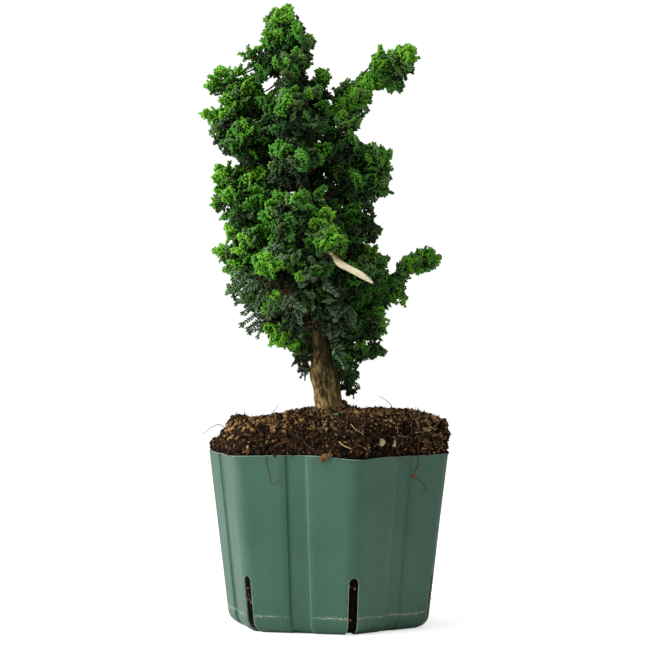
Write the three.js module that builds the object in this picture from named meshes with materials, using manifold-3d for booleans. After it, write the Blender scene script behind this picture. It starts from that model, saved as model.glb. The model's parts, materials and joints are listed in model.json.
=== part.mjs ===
// A dwarf hinoki cypress in a hexagonal nursery pot.
//
// Millimetres, +Z up, -Y is the front. The origin is the middle of the pot's flat underside.
// The pot holds a root ball that stands well above its rim. One trunk rises from the root ball
// to the top of the crown. Limbs leave the trunk all round: each ends in one mass of foliage,
// and a limb with a bare stretch has a bough of its own there. Every mass keeps to a cell of
// its own between its neighbours, so that no two solids touch.

import * as THREE from "three";
import { mergeVertices } from "three/addons/utils/BufferGeometryUtils.js";
import Module from "manifold-3d";

const wasm = await Module();
wasm.setup();

const GAP = 0.3; // clearance between neighbouring solids
const FINEST = 0.03; // slivers thinner than this are merged away after a cut or a join
const COINCIDENT = 1e-3; // corners closer than this count as one
const TRIES = 9; // how often a mass is grown anew; its twigs thin out as this goes on
const SEED = 101;
const SEED_STEP = 1000;

// ---------------------------------------------------------------------------------------
// Driving dimensions
// ---------------------------------------------------------------------------------------

const POT = {
  sides: 6,
  turn: 13.5, // degrees from the front to the nearest corner, towards +X
  height: 130,
  rimRadius: 95, // to the corner, before it is rounded
  baseRadius: 79,
  cornerRadius: 15,
  cornerSteps: 4,
  edgeRadius: 9, // rounding between the walls and the underside
  edgeSteps: 3,
  wall: 1.4,
  floor: 2.2,
  bandWidth: 15, // the sunk upright band in the middle of each side
  bandDepth: 1.8,
  bandSlope: 1.4, // how wide the slope into a band is
  rimWave: 0.8, // how far the rim strays from level
  rimDip: 2.2, // the dip over the front corner
  rimDipWidth: 12, // degrees
  slotWidth: 7,
  slotHeight: 42,
  slotFoot: 22, // how far a slot runs in under the base from the corner
};

const ROOT_BALL = {
  top: 163.3, // the level seat of the trunk
  seatRadius: 17,
  lump: 1.6, // height of the lumps
  lean: 1.8, // how much the right edge stands above the middle
  // How the top rounds off: the share of the way in from the edge, and of the rise.
  shoulder: [[0.0, 0.08], [0.02, 0.28], [0.06, 0.5], [0.13, 0.72], [0.3, 0.84], [0.6, 0.92]],
};

// Centre line and radius of the trunk, from the flat cut at its foot to its tip.
const TRUNK = {
  stations: [
    { at: [0.7, 0, 163.6], radius: 9.6 },
    { at: [-0.8, -0.5, 181], radius: 10.1 },
    { at: [-2.6, -0.5, 192], radius: 9.2 },
    { at: [-4.4, 0.5, 206], radius: 7.4 },
    { at: [-8, 2, 240], radius: 6.2 },
    { at: [-12, 2, 280], radius: 5.2 },
    { at: [-17, -1, 320], radius: 4.2 },
    { at: [-23, 0, 360], radius: 3.2 },
    { at: [-28.5, 1, 400], radius: 2.1 },
    { at: [-31, 0, 422], radius: 1.3 },
  ],
  rings: 15,
  sides: 11,
  flare: 0.22, // how much wider the foot is, as a share of the radius
  flareHeight: 5,
  buttresses: 3,
  buttress: 0.5, // how deep the root flare is lobed, as a share of the flare
};

// The pruned limb: it comes out of the crown at the front and ends in a slanting cut.
const CUT_STUB = {
  path: [[-12, 0, 296], [-8, -34, 287], [4, -52, 277], [14, -57, 266], [34, -58, 256]],
  rootRadius: 3.4,
  tipRadius: 2.5,
  rings: 9,
  sides: 8,
  slant: 3.5, // how far the cut leans over the width of the limb
};

// Each limb leaves the trunk at a height, ends at a tip, and is clothed over its last stretch
// ("foliage") to a half width ("spread"). An arm that stands out of the crown has a lift of its
// own, because it rises early and levels out.
const LIMBS = [
  { name: "neck_left", leaves: 406, tip: [-64, -5, 435], foliage: 44, spread: 16 },
  { name: "neck_right", leaves: 405, tip: [-7, 0, 434], foliage: 32, spread: 17 },
  { name: "neck_front", leaves: 396, tip: [-28, -32, 428], foliage: 38, spread: 20 },
  { name: "neck_back", leaves: 397, tip: [-36, 34, 432], foliage: 39, spread: 20 },
  { name: "upper_left", leaves: 376, tip: [-96, 5, 411], foliage: 64, spread: 19 },
  { name: "left", leaves: 345, tip: [-97, -8, 379], foliage: 66, spread: 26 },
  { name: "left_back", leaves: 348, tip: [-78, 42, 380], foliage: 57, spread: 26 },
  { name: "upper_front", leaves: 364, tip: [-22, -52, 395], foliage: 50, spread: 25 },
  { name: "upper_right_spur", leaves: 380, tip: [0, 5, 419], foliage: 33, spread: 15 },
  { name: "upper_back", leaves: 367, tip: [-21, 52, 404], foliage: 50, spread: 26 },
  { name: "arm_high_inner", leaves: 354, tip: [38, 4, 415], foliage: 54, spread: 14, lift: 0.55 },
  { name: "arm_high", leaves: 350, tip: [68, -2, 435], foliage: 48, spread: 19, lift: 0.6 },
  { name: "right_upper_front", leaves: 337, tip: [27, -25, 379], foliage: 45, spread: 20 },
  { name: "right", leaves: 315, tip: [53, -5, 354], foliage: 60, spread: 28 },
  { name: "right_back", leaves: 307, tip: [36, 48, 359], foliage: 54, spread: 26 },
  { name: "front_mid", leaves: 326, tip: [-24, -56, 360], foliage: 50, spread: 26 },
  { name: "back_mid", leaves: 326, tip: [-27, 60, 366], foliage: 50, spread: 28 },
  { name: "left_mid", leaves: 300, tip: [-91, -10, 336], foliage: 64, spread: 27 },
  { name: "left_mid_back", leaves: 294, tip: [-76, 48, 328], foliage: 57, spread: 26 },
  { name: "front_centre", leaves: 292, tip: [-30, -62, 319], foliage: 50, spread: 25 },
  { name: "right_mid", leaves: 285, tip: [41, -8, 312], foliage: 54, spread: 22 },
  { name: "back_centre", leaves: 288, tip: [-7, 64, 318], foliage: 52, spread: 28 },
  { name: "left_low", leaves: 262, tip: [-84, -18, 292], foliage: 66, spread: 26 },
  { name: "front_right", leaves: 268, tip: [6, -62, 305], foliage: 50, spread: 22 },
  { name: "right_low", leaves: 251, tip: [45, -14, 276], foliage: 54, spread: 22 },
  { name: "back_low_right", leaves: 251, tip: [30, 48, 273], foliage: 53, spread: 26 },
  { name: "back_low_left", leaves: 251, tip: [-50, 55, 273], foliage: 57, spread: 28 },
  { name: "left_spur_low", leaves: 238, tip: [-86, -5, 265], foliage: 66, spread: 18 },
  { name: "front_left_low", leaves: 244, tip: [-45, -60, 278], foliage: 52, spread: 22 },
  { name: "arm_low", leaves: 227, tip: [88, 0, 281], foliage: 50, spread: 12, lift: 0.6 },
  { name: "arm_low_inner", leaves: 224, tip: [60, 4, 257], foliage: 44, spread: 13, lift: 0.45 },
  { name: "droop_left", leaves: 234, tip: [-64, -12, 231], foliage: 56, spread: 20 },
  { name: "front_low", leaves: 230, tip: [-22, -56, 239], foliage: 47, spread: 22 },
  { name: "front_right_low", leaves: 228, tip: [14, -52, 243], foliage: 47, spread: 21 },
  { name: "right_skirt", leaves: 214, tip: [50, -5, 236], foliage: 50, spread: 18 },
  { name: "back_skirt", leaves: 221, tip: [-2, 55, 232], foliage: 50, spread: 26 },
  { name: "left_skirt", leaves: 214, tip: [-46, -18, 212], foliage: 44, spread: 15 },
  { name: "right_base", leaves: 202, tip: [46, -5, 204], foliage: 42, spread: 15 },
  { name: "right_foot", leaves: 192, tip: [29, 6, 176], foliage: 33, spread: 13 },
  { name: "left_foot", leaves: 204, tip: [-26, -6, 188], foliage: 30, spread: 11 },
  { name: "back_foot", leaves: 198, tip: [2, 40, 206], foliage: 35, spread: 18 },
];

// The leader is clothed above the trunk's tip.
const LEADER = { name: "leader", rises: 422.5, tip: [-34, 0, 467], foliage: 60, spread: 26 };

const BOUGH = {
  shortest: 16, // a limb with a shorter bare stretch has only its stem
  enters: 0.2, // how far a bough runs into its mass, as a share of the mass's length
  slimness: 0.018, // radius at the tip, as a share of the limb's length
  leastRadius: 0.9,
  rootShare: 0.5, // the most of the trunk's radius that a bough's root takes
  swell: 1.9, // radius at the root, as a multiple of that at the tip
  lift: 0.28, // share of its rise that a limb has gained half way out
  sides: 5,
  rings: 5,
};

const STOUTEST = 0.8; // the least half length of a mass, as a multiple of its half width

const STEM = { ends: 0.8, tipRadius: 0.6, rings: 4, sides: 5 };

const TWIG = {
  sides: 3,
  radius: 0.9,
  taper: 0.6,
  ends: 0.8, // where a twig ends inside the core, as a share of the core's size
  area: 540, // mm2 of a mass's surface for each twig
  fewest: 6,
};

const SPRAY = {
  lobes: 3,
  fan: 125, // degrees between the outer lobes
  outerLobe: 0.78, // length of an outer lobe, as a share of the middle one
  valley: 0.66, // depth of the notches between lobes
  thickness: 1.3,
  thickest: 0.42, // where a spray is thickest, as a share of its length
  root: 0.55, // where a spray starts, as a share of the mass's radius
  leastTip: 0.95, // where it ends
  mostTip: 1.15,
  longest: 19,
  forward: 0.25, // how far the sprays turn towards the tip of their limb
  upward: 0.15,
  clear: 1.5, // how far the sprays stay off the limbs
};

// The dense middle of a mass.
const CORE = {
  share: 0.74, // its size, as a share of the mass's
  lump: 0.15,
  inCell: 0.98, // how near it comes to the sides of its cell
};

const BARK = { color: 0x6b5a45, roughness: 0.95, metalness: 0 };
const FINISHES = {
  pot: { color: 0x4f7a68, roughness: 0.5, metalness: 0 },
  rootBall: { color: 0x3a281b, roughness: 1, metalness: 0 },
  trunk: BARK,
  bough: BARK,
  stub: { color: 0xd9c9a3, roughness: 0.8, metalness: 0 },
};

// ---------------------------------------------------------------------------------------
// Helpers
// ---------------------------------------------------------------------------------------

const radians = THREE.MathUtils.degToRad;
const { lerp } = THREE.MathUtils;
const point = (array) => new THREE.Vector3(...array);

/** A repeatable stream of numbers from 0 to 1. */
function seededRandom(seed) {
  let state = seed >>> 0;
  return () => {
    state = (state + 0x6d2b79f5) >>> 0;
    let mixed = Math.imul(state ^ (state >>> 15), state | 1);
    mixed ^= mixed + Math.imul(mixed ^ (mixed >>> 7), mixed | 61);
    return ((mixed ^ (mixed >>> 14)) >>> 0) / 4294967296;
  };
}

function meshGeometry(vertices, triangles) {
  const geometry = new THREE.BufferGeometry();
  geometry.setAttribute("position", new THREE.BufferAttribute(new Float32Array(vertices), 3));
  geometry.setIndex(triangles);
  return geometry;
}

/** A closed skin over rings of equally many points, each end closed to its own middle. */
function loft(rings) {
  const count = rings[0].length;
  const vertices = rings.flatMap((ring) => ring.flatMap((p) => [p.x, p.y, p.z]));
  const triangles = [];
  for (let ring = 0; ring + 1 < rings.length; ring += 1) {
    for (let i = 0; i < count; i += 1) {
      const j = (i + 1) % count;
      const [a, b] = [ring * count + i, ring * count + j];
      triangles.push(a, b, b + count, a, b + count, a + count);
    }
  }
  for (const last of [false, true]) {
    const ring = last ? rings.length - 1 : 0;
    const middle = rings[ring].reduce((sum, p) => sum.add(p), new THREE.Vector3());
    middle.divideScalar(count);
    const centre = vertices.length / 3;
    vertices.push(middle.x, middle.y, middle.z);
    for (let i = 0; i < count; i += 1) {
      const [a, b] = [ring * count + i, ring * count + ((i + 1) % count)];
      triangles.push(centre, last ? a : b, last ? b : a);
    }
  }
  return meshGeometry(vertices, triangles);
}

/** A tapering limb along a curve. radiusAt takes the share along it and the angle round it. */
function limbGeometry(curve, radiusAt, ringCount, sides) {
  const frames = curve.computeFrenetFrames(ringCount - 1, false);
  const rings = [];
  for (let ring = 0; ring < ringCount; ring += 1) {
    const share = ring / (ringCount - 1);
    const centre = curve.getPointAt(share);
    rings.push(
      Array.from({ length: sides }, (_, side) => {
        const angle = (2 * Math.PI * side) / sides;
        const radius = radiusAt(share, angle);
        return centre
          .clone()
          .addScaledVector(frames.normals[ring], radius * Math.cos(angle))
          .addScaledVector(frames.binormals[ring], radius * Math.sin(angle));
      })
    );
  }
  return loft(rings);
}

function toSolid(geometry) {
  const bare = geometry.clone();
  bare.deleteAttribute("normal");
  bare.deleteAttribute("uv");
  const merged = mergeVertices(bare, 1e-5);
  return new wasm.Manifold(
    new wasm.Mesh({
      numProp: 3,
      vertProperties: new Float32Array(merged.attributes.position.array),
      triVerts: new Uint32Array(merged.index.array),
    })
  );
}

function toGeometry(solid) {
  const { vertProperties, triVerts, numProp } = solid.getMesh();
  const vertices = [];
  for (let i = 0; i < vertProperties.length; i += numProp) {
    vertices.push(vertProperties[i], vertProperties[i + 1], vertProperties[i + 2]);
  }
  return meshGeometry(vertices, Array.from(triVerts)).toNonIndexed();
}

const joined = (solids) => solids.reduce((sum, solid) => sum.add(solid));

/** Whether a skin stays closed once corners that almost meet are made one. */
function isSound(geometry) {
  const bare = geometry.clone().deleteAttribute("normal").deleteAttribute("uv");
  const index = mergeVertices(bare, COINCIDENT).index.array;
  const edges = new Map();
  for (let i = 0; i < index.length; i += 3) {
    const corners = [index[i], index[i + 1], index[i + 2]];
    if (new Set(corners).size < 3) {
      return false;
    }
    corners.forEach((from, k) => {
      const to = corners[(k + 1) % 3];
      const edge = from < to ? `${from} ${to}` : `${to} ${from}`;
      edges.set(edge, (edges.get(edge) ?? 0) + 1);
    });
  }
  return [...edges.values()].every((uses) => uses === 2);
}

/** The largest body of a solid, with loose scraps and sealed hollows left out. */
function mainBody(solid) {
  const bodies = solid.simplify(FINEST).decompose();
  return bodies.reduce((best, body) => (body.volume() > best.volume() ? body : best));
}

function namedMesh(name, geometry, finish) {
  const mesh = new THREE.Mesh(geometry, new THREE.MeshStandardMaterial(finish));
  mesh.geometry.computeVertexNormals();
  mesh.name = name;
  return mesh;
}

// ---------------------------------------------------------------------------------------
// Pot and root ball
// ---------------------------------------------------------------------------------------

/** The direction at an angle from the front, towards +X. */
const heading = (degrees) => new THREE.Vector2(Math.sin(radians(degrees)), -Math.cos(radians(degrees)));

/** The pot's outline at a height, moved in by an inset: rounded corners and sunk bands. */
function potOutline(height, inset, bandDepth = POT.bandDepth) {
  const halfSide = 180 / POT.sides;
  const radius = lerp(POT.baseRadius, POT.rimRadius, height / POT.height);
  const apothem = radius * Math.cos(radians(halfSide)) - inset;
  const rounding = Math.max(POT.cornerRadius - inset, 2);
  const cornerDistance = (apothem - rounding) / Math.cos(radians(halfSide));
  const outline = [];
  for (let side = 0; side < POT.sides; side += 1) {
    const corner = POT.turn + 2 * halfSide * side;
    for (let step = 0; step <= POT.cornerSteps; step += 1) {
      const around = corner + lerp(-halfSide, halfSide, step / POT.cornerSteps);
      outline.push(heading(corner).multiplyScalar(cornerDistance).addScaledVector(heading(around), rounding));
    }
    const normal = heading(corner + halfSide);
    const along = heading(corner + halfSide + 90);
    const outer = (POT.bandWidth + POT.bandSlope) / 2;
    const inner = (POT.bandWidth - POT.bandSlope) / 2;
    for (const [shift, depth] of [[-outer, 0], [-inner, bandDepth], [inner, bandDepth], [outer, 0]]) {
      outline.push(normal.clone().multiplyScalar(apothem - depth).addScaledVector(along, shift));
    }
  }
  return outline;
}

const ringAt = (outline, height) => outline.map((p) => new THREE.Vector3(p.x, p.y, height));

/** Rings round the lower edge of the pot, from the flat underside up to the wall. */
function lowerEdge(bottom, wallInset, rounding) {
  return Array.from({ length: POT.edgeSteps + 1 }, (_, step) => {
    const angle = (Math.PI / 2) * (step / POT.edgeSteps);
    const height = bottom + rounding * (1 - Math.cos(angle));
    return ringAt(potOutline(height, wallInset + rounding * (1 - Math.sin(angle))), height);
  });
}

/** How far the rim strays from level at a point. */
function rimWave(p) {
  const degrees = THREE.MathUtils.radToDeg(Math.atan2(p.x, -p.y));
  const dip = POT.rimDip * Math.exp(-(((degrees - POT.turn) / POT.rimDipWidth) ** 2));
  return POT.rimWave * Math.sin(radians(3 * degrees + 120)) - dip;
}

function potRim(inset) {
  return ringAt(potOutline(POT.height, inset), POT.height).map((p) => p.setZ(p.z + rimWave(p)));
}

/** One corner slot: a round-topped cut through the wall and the edge of the floor. */
function slotCutter(side) {
  const half = POT.slotWidth / 2;
  const below = -5;
  const shape = new THREE.Shape();
  shape.moveTo(-half, below);
  shape.lineTo(half, below);
  shape.lineTo(half, POT.slotHeight - half);
  shape.absarc(0, POT.slotHeight - half, half, 0, Math.PI, false);
  const inner = POT.baseRadius - POT.slotFoot;
  const depth = POT.rimRadius - inner;
  const geometry = new THREE.ExtrudeGeometry(shape, { depth, bevelEnabled: false, curveSegments: 5 });
  geometry.rotateX(Math.PI / 2);
  geometry.translate(0, -inner, 0);
  geometry.rotateZ(radians(POT.turn + (360 / POT.sides) * side));
  return toSolid(geometry);
}

function makePot() {
  const innerRounding = POT.edgeRadius - POT.wall;
  const shell = loft([
    ...lowerEdge(0, 0, POT.edgeRadius),
    potRim(0),
    potRim(POT.wall),
    ...lowerEdge(POT.floor, POT.wall, innerRounding).reverse(),
  ]);
  const slots = Array.from({ length: POT.sides }, (_, side) => slotCutter(side));
  return toGeometry(mainBody(toSolid(shell).subtract(joined(slots))));
}

/** A lumpy height, the same each time, that fades out on the trunk's seat. */
function soilLump(p, amount) {
  const waves = Math.sin(p.x * 0.31 + p.y * 0.17) + Math.sin(p.y * 0.39 - p.x * 0.12 + 2);
  return (ROOT_BALL.lump * amount * waves) / 2;
}

function makeRootBall() {
  const inset = POT.wall + GAP;
  const rings = lowerEdge(POT.floor + GAP, inset, POT.edgeRadius - inset);
  const rimOutline = potOutline(POT.height, inset, 0);
  const brim = POT.height + POT.rimWave + GAP;
  rings.push(ringAt(potOutline(POT.height, inset), brim));
  const [seatX, seatY] = TRUNK.stations[0].at;
  for (const [inward, rise] of ROOT_BALL.shoulder) {
    const height = lerp(brim, ROOT_BALL.top, rise);
    rings.push(
      rimOutline.map((p) => {
        const seat = p.clone().setLength(ROOT_BALL.seatRadius).add(new THREE.Vector2(seatX, seatY));
        const inner = p.clone().lerp(seat, inward);
        const lump = soilLump(inner, rise) + (ROOT_BALL.lean * rise * inner.x) / POT.rimRadius;
        inner.multiplyScalar(1 - Math.max(0, lump) * 0.01 * (1 - inward));
        return new THREE.Vector3(inner.x, inner.y, height + lump);
      })
    );
  }
  rings.push(
    rimOutline.map((p) => {
      const seat = p.clone().setLength(ROOT_BALL.seatRadius);
      return new THREE.Vector3(seat.x + seatX, seat.y + seatY, ROOT_BALL.top);
    })
  );
  return loft(rings);
}

// ---------------------------------------------------------------------------------------
// Trunk, boughs and the cut stub
// ---------------------------------------------------------------------------------------

const trunkCurve = new THREE.CatmullRomCurve3(TRUNK.stations.map((station) => point(station.at)));
const trunkTip = TRUNK.stations[TRUNK.stations.length - 1];
const trunkFoot = TRUNK.stations[0].at[2];
const trunkTop = trunkTip.at[2];

/** The trunk's middle and radius at a height. */
function trunkAt(height) {
  const above = TRUNK.stations.findIndex((station) => station.at[2] >= height);
  const upper = TRUNK.stations[above < 1 ? 1 : above];
  const lower = TRUNK.stations[above < 1 ? 0 : above - 1];
  const share = (height - lower.at[2]) / (upper.at[2] - lower.at[2]);
  return {
    middle: point(lower.at).lerp(point(upper.at), share),
    radius: lerp(lower.radius, upper.radius, share),
  };
}

/** The trunk as level rings, so that its foot is a flat cut. extra makes it fatter. */
function trunkGeometry(extra) {
  const rings = [];
  for (let ring = 0; ring < TRUNK.rings; ring += 1) {
    const share = (ring / (TRUNK.rings - 1)) ** 1.25;
    const height = lerp(trunkFoot, trunkTop, share);
    const { middle, radius } = trunkAt(height);
    const flare = TRUNK.flare * Math.exp((trunkFoot - height) / TRUNK.flareHeight);
    rings.push(
      Array.from({ length: TRUNK.sides }, (_, side) => {
        const angle = (2 * Math.PI * side) / TRUNK.sides;
        const lobe = 1 + TRUNK.buttress * Math.cos(TRUNK.buttresses * angle);
        const reach = radius * (1 + flare * lobe) + extra;
        return middle.clone().add(new THREE.Vector3(Math.cos(angle) * reach, Math.sin(angle) * reach, 0));
      })
    );
  }
  if (extra > 0) {
    rings.push(rings[rings.length - 1].map((p) => p.clone().setZ(trunkTop + extra)));
  }
  return loft(rings);
}

/** The line of a limb: out from the trunk first, then up, or down, to its tip. */
function limbCurve(limb) {
  const tip = point(limb.tip);
  const root = trunkAt(limb.leaves).middle;
  const bend = root.clone().lerp(tip, 0.5);
  bend.z = lerp(root.z, tip.z, limb.lift ?? BOUGH.lift);
  return new THREE.QuadraticBezierCurve3(root, bend, tip);
}

function leaderCurve() {
  const root = trunkAt(trunkTop).middle.setZ(LEADER.rises);
  return new THREE.LineCurve3(root, point(LEADER.tip));
}

/** Everything that is worked out from a limb's row. */
function planLimb(limb) {
  const curve = limb.leaves ? limbCurve(limb) : leaderCurve();
  const length = curve.getLength();
  const start = Math.max(0, 1 - limb.foliage / length);
  const from = curve.getPointAt(start);
  const tip = point(limb.tip);
  const rootRadius = limb.leaves ? trunkAt(limb.leaves).radius : trunkTip.radius;
  const tipRadius = Math.max(BOUGH.leastRadius, BOUGH.slimness * length);
  return {
    name: limb.name,
    curve,
    tipRadius,
    rootRadius: Math.min(tipRadius * BOUGH.swell, rootRadius * BOUGH.rootShare),
    enters: start + (BOUGH.enters * limb.foliage) / length,
    hasBough: start * length - rootRadius > BOUGH.shortest,
    centre: from.clone().lerp(tip, 0.5),
    axis: tip.clone().sub(from).normalize(),
    half: Math.max(from.distanceTo(tip) / 2, limb.spread * STOUTEST),
    spread: limb.spread,
  };
}

/** The part of a curve between two shares of its length. */
function stretch(curve, from, to, count = 7) {
  const points = Array.from({ length: count }, (_, i) => curve.getPointAt(lerp(from, to, i / (count - 1))));
  return new THREE.CatmullRomCurve3(points);
}

function boughGeometry(plan, extra) {
  const end = Math.min(0.995, plan.enters + extra / plan.curve.getLength());
  const radiusAt = (share) => lerp(plan.rootRadius, plan.tipRadius, share) + extra;
  return limbGeometry(stretch(plan.curve, 0, end), radiusAt, BOUGH.rings, BOUGH.sides);
}

const stubCurve = new THREE.CatmullRomCurve3(CUT_STUB.path.map(point));

/** The pruned limb, its last ring leaning over to give the slanting cut. */
function stubGeometry(extra) {
  const tip = stubCurve.getPointAt(1);
  const direction = stubCurve.getTangentAt(1);
  const radiusAt = (share) => lerp(CUT_STUB.rootRadius, CUT_STUB.tipRadius, share) + extra;
  const geometry = limbGeometry(stubCurve, radiusAt, CUT_STUB.rings, CUT_STUB.sides);
  const position = geometry.attributes.position;
  const lastRing = (CUT_STUB.rings - 1) * CUT_STUB.sides;
  for (let i = lastRing; i < lastRing + CUT_STUB.sides; i += 1) {
    const vertex = new THREE.Vector3().fromBufferAttribute(position, i);
    const lean = ((vertex.z - tip.z) / CUT_STUB.tipRadius) * (CUT_STUB.slant / 2);
    vertex.addScaledVector(direction, extra - lean);
    position.setXYZ(i, vertex.x, vertex.y, vertex.z);
  }
  return geometry;
}

// ---------------------------------------------------------------------------------------
// Cells: the space that each mass of foliage keeps to
// ---------------------------------------------------------------------------------------

/** The ellipsoid of a mass as a matrix of its squared half sizes. */
function shapeMatrix(plan) {
  const across = plan.spread ** 2;
  const extra = plan.half ** 2 - across;
  const { x, y, z } = plan.axis;
  return [
    across + extra * x * x, extra * x * y, extra * x * z,
    extra * x * y, across + extra * y * y, extra * y * z,
    extra * x * z, extra * y * z, across + extra * z * z,
  ];
}

/** The plane that parts two masses, each side as wide as its own mass needs. */
function partingPlane(plan, other) {
  const own = shapeMatrix(plan);
  const theirs = shapeMatrix(other);
  const both = new THREE.Matrix3().set(...own.map((value, i) => value + theirs[i])).invert();
  const apart = other.centre.clone().sub(plan.centre);
  const normal = apart.clone().applyMatrix3(both).normalize();
  const reach = (matrix) => {
    const stretched = normal.clone().applyMatrix3(new THREE.Matrix3().set(...matrix));
    return Math.sqrt(normal.dot(stretched));
  };
  const share = reach(own) / (reach(own) + reach(theirs));
  const constant = -(plan.centre.dot(normal) + share * apart.dot(normal));
  return new THREE.Plane(normal, constant + GAP / 2);
}

/** How far a ray from a mass's centre can run inside its cell. */
function cellReach(plan, direction) {
  let reach = Infinity;
  for (const plane of plan.cell) {
    const slope = plane.normal.dot(direction);
    if (slope > 1e-6) {
      reach = Math.min(reach, -plane.distanceToPoint(plan.centre) / slope);
    }
  }
  return reach;
}

const insideCell = (plan, p) => plan.cell.every((plane) => plane.distanceToPoint(p) < 0);

/** The radius of a mass's ellipsoid along a direction. */
function massRadius(plan, direction) {
  const along = direction.dot(plan.axis);
  const acrossSquared = Math.max(0, 1 - along * along);
  return 1 / Math.sqrt((along / plan.half) ** 2 + acrossSquared / plan.spread ** 2);
}

// ---------------------------------------------------------------------------------------
// Foliage masses
// ---------------------------------------------------------------------------------------

/** Lines of the limbs with their radii, to keep twigs and sprays off them. */
function limbLines(plans) {
  const lines = [];
  const addLine = (curve, rootRadius, tipRadius, count) => {
    for (let i = 0; i <= count; i += 1) {
      lines.push({ at: curve.getPointAt(i / count), radius: lerp(rootRadius, tipRadius, i / count) });
    }
  };
  addLine(trunkCurve, TRUNK.stations[0].radius, trunkTip.radius, 60);
  addLine(stubCurve, CUT_STUB.rootRadius, CUT_STUB.tipRadius, 24);
  for (const plan of plans.filter((each) => each.hasBough)) {
    addLine(stretch(plan.curve, 0, plan.enters), plan.rootRadius, plan.tipRadius, 16);
  }
  return lines;
}

const touchesLimb = (p, lines) => lines.some(({ at, radius }) => at.distanceTo(p) < radius + SPRAY.clear);

/** A flat fan of foliage with a toothed edge, its root at the origin and its tip along +X. */
function sprayGeometry(length) {
  const outline = [[0, 0]];
  const tips = 2 * SPRAY.lobes - 1;
  for (let i = 0; i < tips; i += 1) {
    const side = (2 * i) / (tips - 1) - 1;
    const angle = radians(SPRAY.fan / 2) * side;
    const lobe = lerp(1, SPRAY.outerLobe, Math.abs(side));
    const reach = length * lobe * (i % 2 ? SPRAY.valley : 1);
    outline.push([reach * Math.cos(angle), reach * Math.sin(angle)]);
  }
  const vertices = outline.flatMap(([x, y]) => [x, y, 0]);
  const crown = outline.length;
  const middle = length * SPRAY.thickest;
  vertices.push(middle, 0, SPRAY.thickness / 2, middle, 0, -SPRAY.thickness / 2);
  const triangles = [];
  for (let i = 0; i < outline.length; i += 1) {
    const j = (i + 1) % outline.length;
    triangles.push(i, j, crown, j, i, crown + 1);
  }
  return meshGeometry(vertices, triangles);
}

/** A spray set at a point, or nothing where it would leave its space or touch a limb. */
function placeSpray(plan, lines, root, direction, roll, length) {
  const turn = new THREE.Quaternion().setFromUnitVectors(new THREE.Vector3(1, 0, 0), direction);
  turn.multiply(new THREE.Quaternion().setFromAxisAngle(new THREE.Vector3(1, 0, 0), roll));
  const place = new THREE.Matrix4().compose(root, turn, new THREE.Vector3(1, 1, 1));
  const geometry = sprayGeometry(length).applyMatrix4(place);
  const position = geometry.attributes.position;
  for (let i = 0; i < position.count; i += 1) {
    const vertex = new THREE.Vector3().fromBufferAttribute(position, i);
    const middle = vertex.clone().lerp(root, 0.5);
    if (!insideCell(plan, vertex) || touchesLimb(vertex, lines) || touchesLimb(middle, lines)) {
      return null;
    }
  }
  return toSolid(geometry);
}

/** The dense middle of a mass: a lump that stays inside the cell. */
function coreSolid(plan, random) {
  const ball = new THREE.OctahedronGeometry(1, 1).deleteAttribute("normal").deleteAttribute("uv");
  const geometry = mergeVertices(ball);
  const position = geometry.attributes.position;
  for (let i = 0; i < position.count; i += 1) {
    const direction = new THREE.Vector3().fromBufferAttribute(position, i).normalize();
    const size = massRadius(plan, direction) * CORE.share * lerp(1 - CORE.lump, 1 + CORE.lump, random());
    const reach = Math.min(size, cellReach(plan, direction) * CORE.inCell);
    const vertex = plan.centre.clone().addScaledVector(direction, reach);
    position.setXYZ(i, vertex.x, vertex.y, vertex.z);
  }
  return toSolid(geometry);
}

/** The stem of a mass, from its bough's tip or the trunk to well inside it. */
function stemSolid(plan, extra) {
  const from = plan.hasBough ? plan.enters : 0;
  const curve = stretch(plan.curve, from, STEM.ends, 5);
  const radiusAt = (share) => lerp(plan.tipRadius, STEM.tipRadius, share) + extra;
  return toSolid(limbGeometry(curve, radiusAt, STEM.rings, STEM.sides));
}

/** Evenly spread directions, turned by a seeded angle. */
function spreadDirections(count, random) {
  const turn = 2 * Math.PI * random();
  return Array.from({ length: count }, (_, i) => {
    const height = 1 - (2 * (i + 0.5)) / count;
    const around = turn + i * Math.PI * (3 - Math.sqrt(5));
    const level = Math.sqrt(1 - height * height);
    return new THREE.Vector3(level * Math.cos(around), level * Math.sin(around), height);
  });
}

/** One twig out of the middle of a mass, up to the skin of its core, and the spray on it. */
function growTwig(plan, lines, direction, random) {
  const radius = massRadius(plan, direction);
  const sprayTip = radius * lerp(SPRAY.leastTip, SPRAY.mostTip, random());
  const sprayRoot = Math.max(radius * SPRAY.root, sprayTip - SPRAY.longest);
  const twigEnd = plan.centre.clone().addScaledVector(direction, radius * CORE.share * TWIG.ends);
  const outward = direction.clone().lerp(plan.axis, SPRAY.forward).add(new THREE.Vector3(0, 0, SPRAY.upward));
  const root = plan.centre.clone().addScaledVector(direction, sprayRoot);
  const roll = Math.PI * random();
  const spray = placeSpray(plan, lines, root, outward.normalize(), roll, sprayTip - sprayRoot);
  if (spray === null) {
    return [];
  }
  const radiusAt = (share) => lerp(TWIG.radius, TWIG.radius * TWIG.taper, share);
  return [spray, toSolid(limbGeometry(new THREE.LineCurve3(plan.centre, twigEnd), radiusAt, 2, TWIG.sides))];
}

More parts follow.
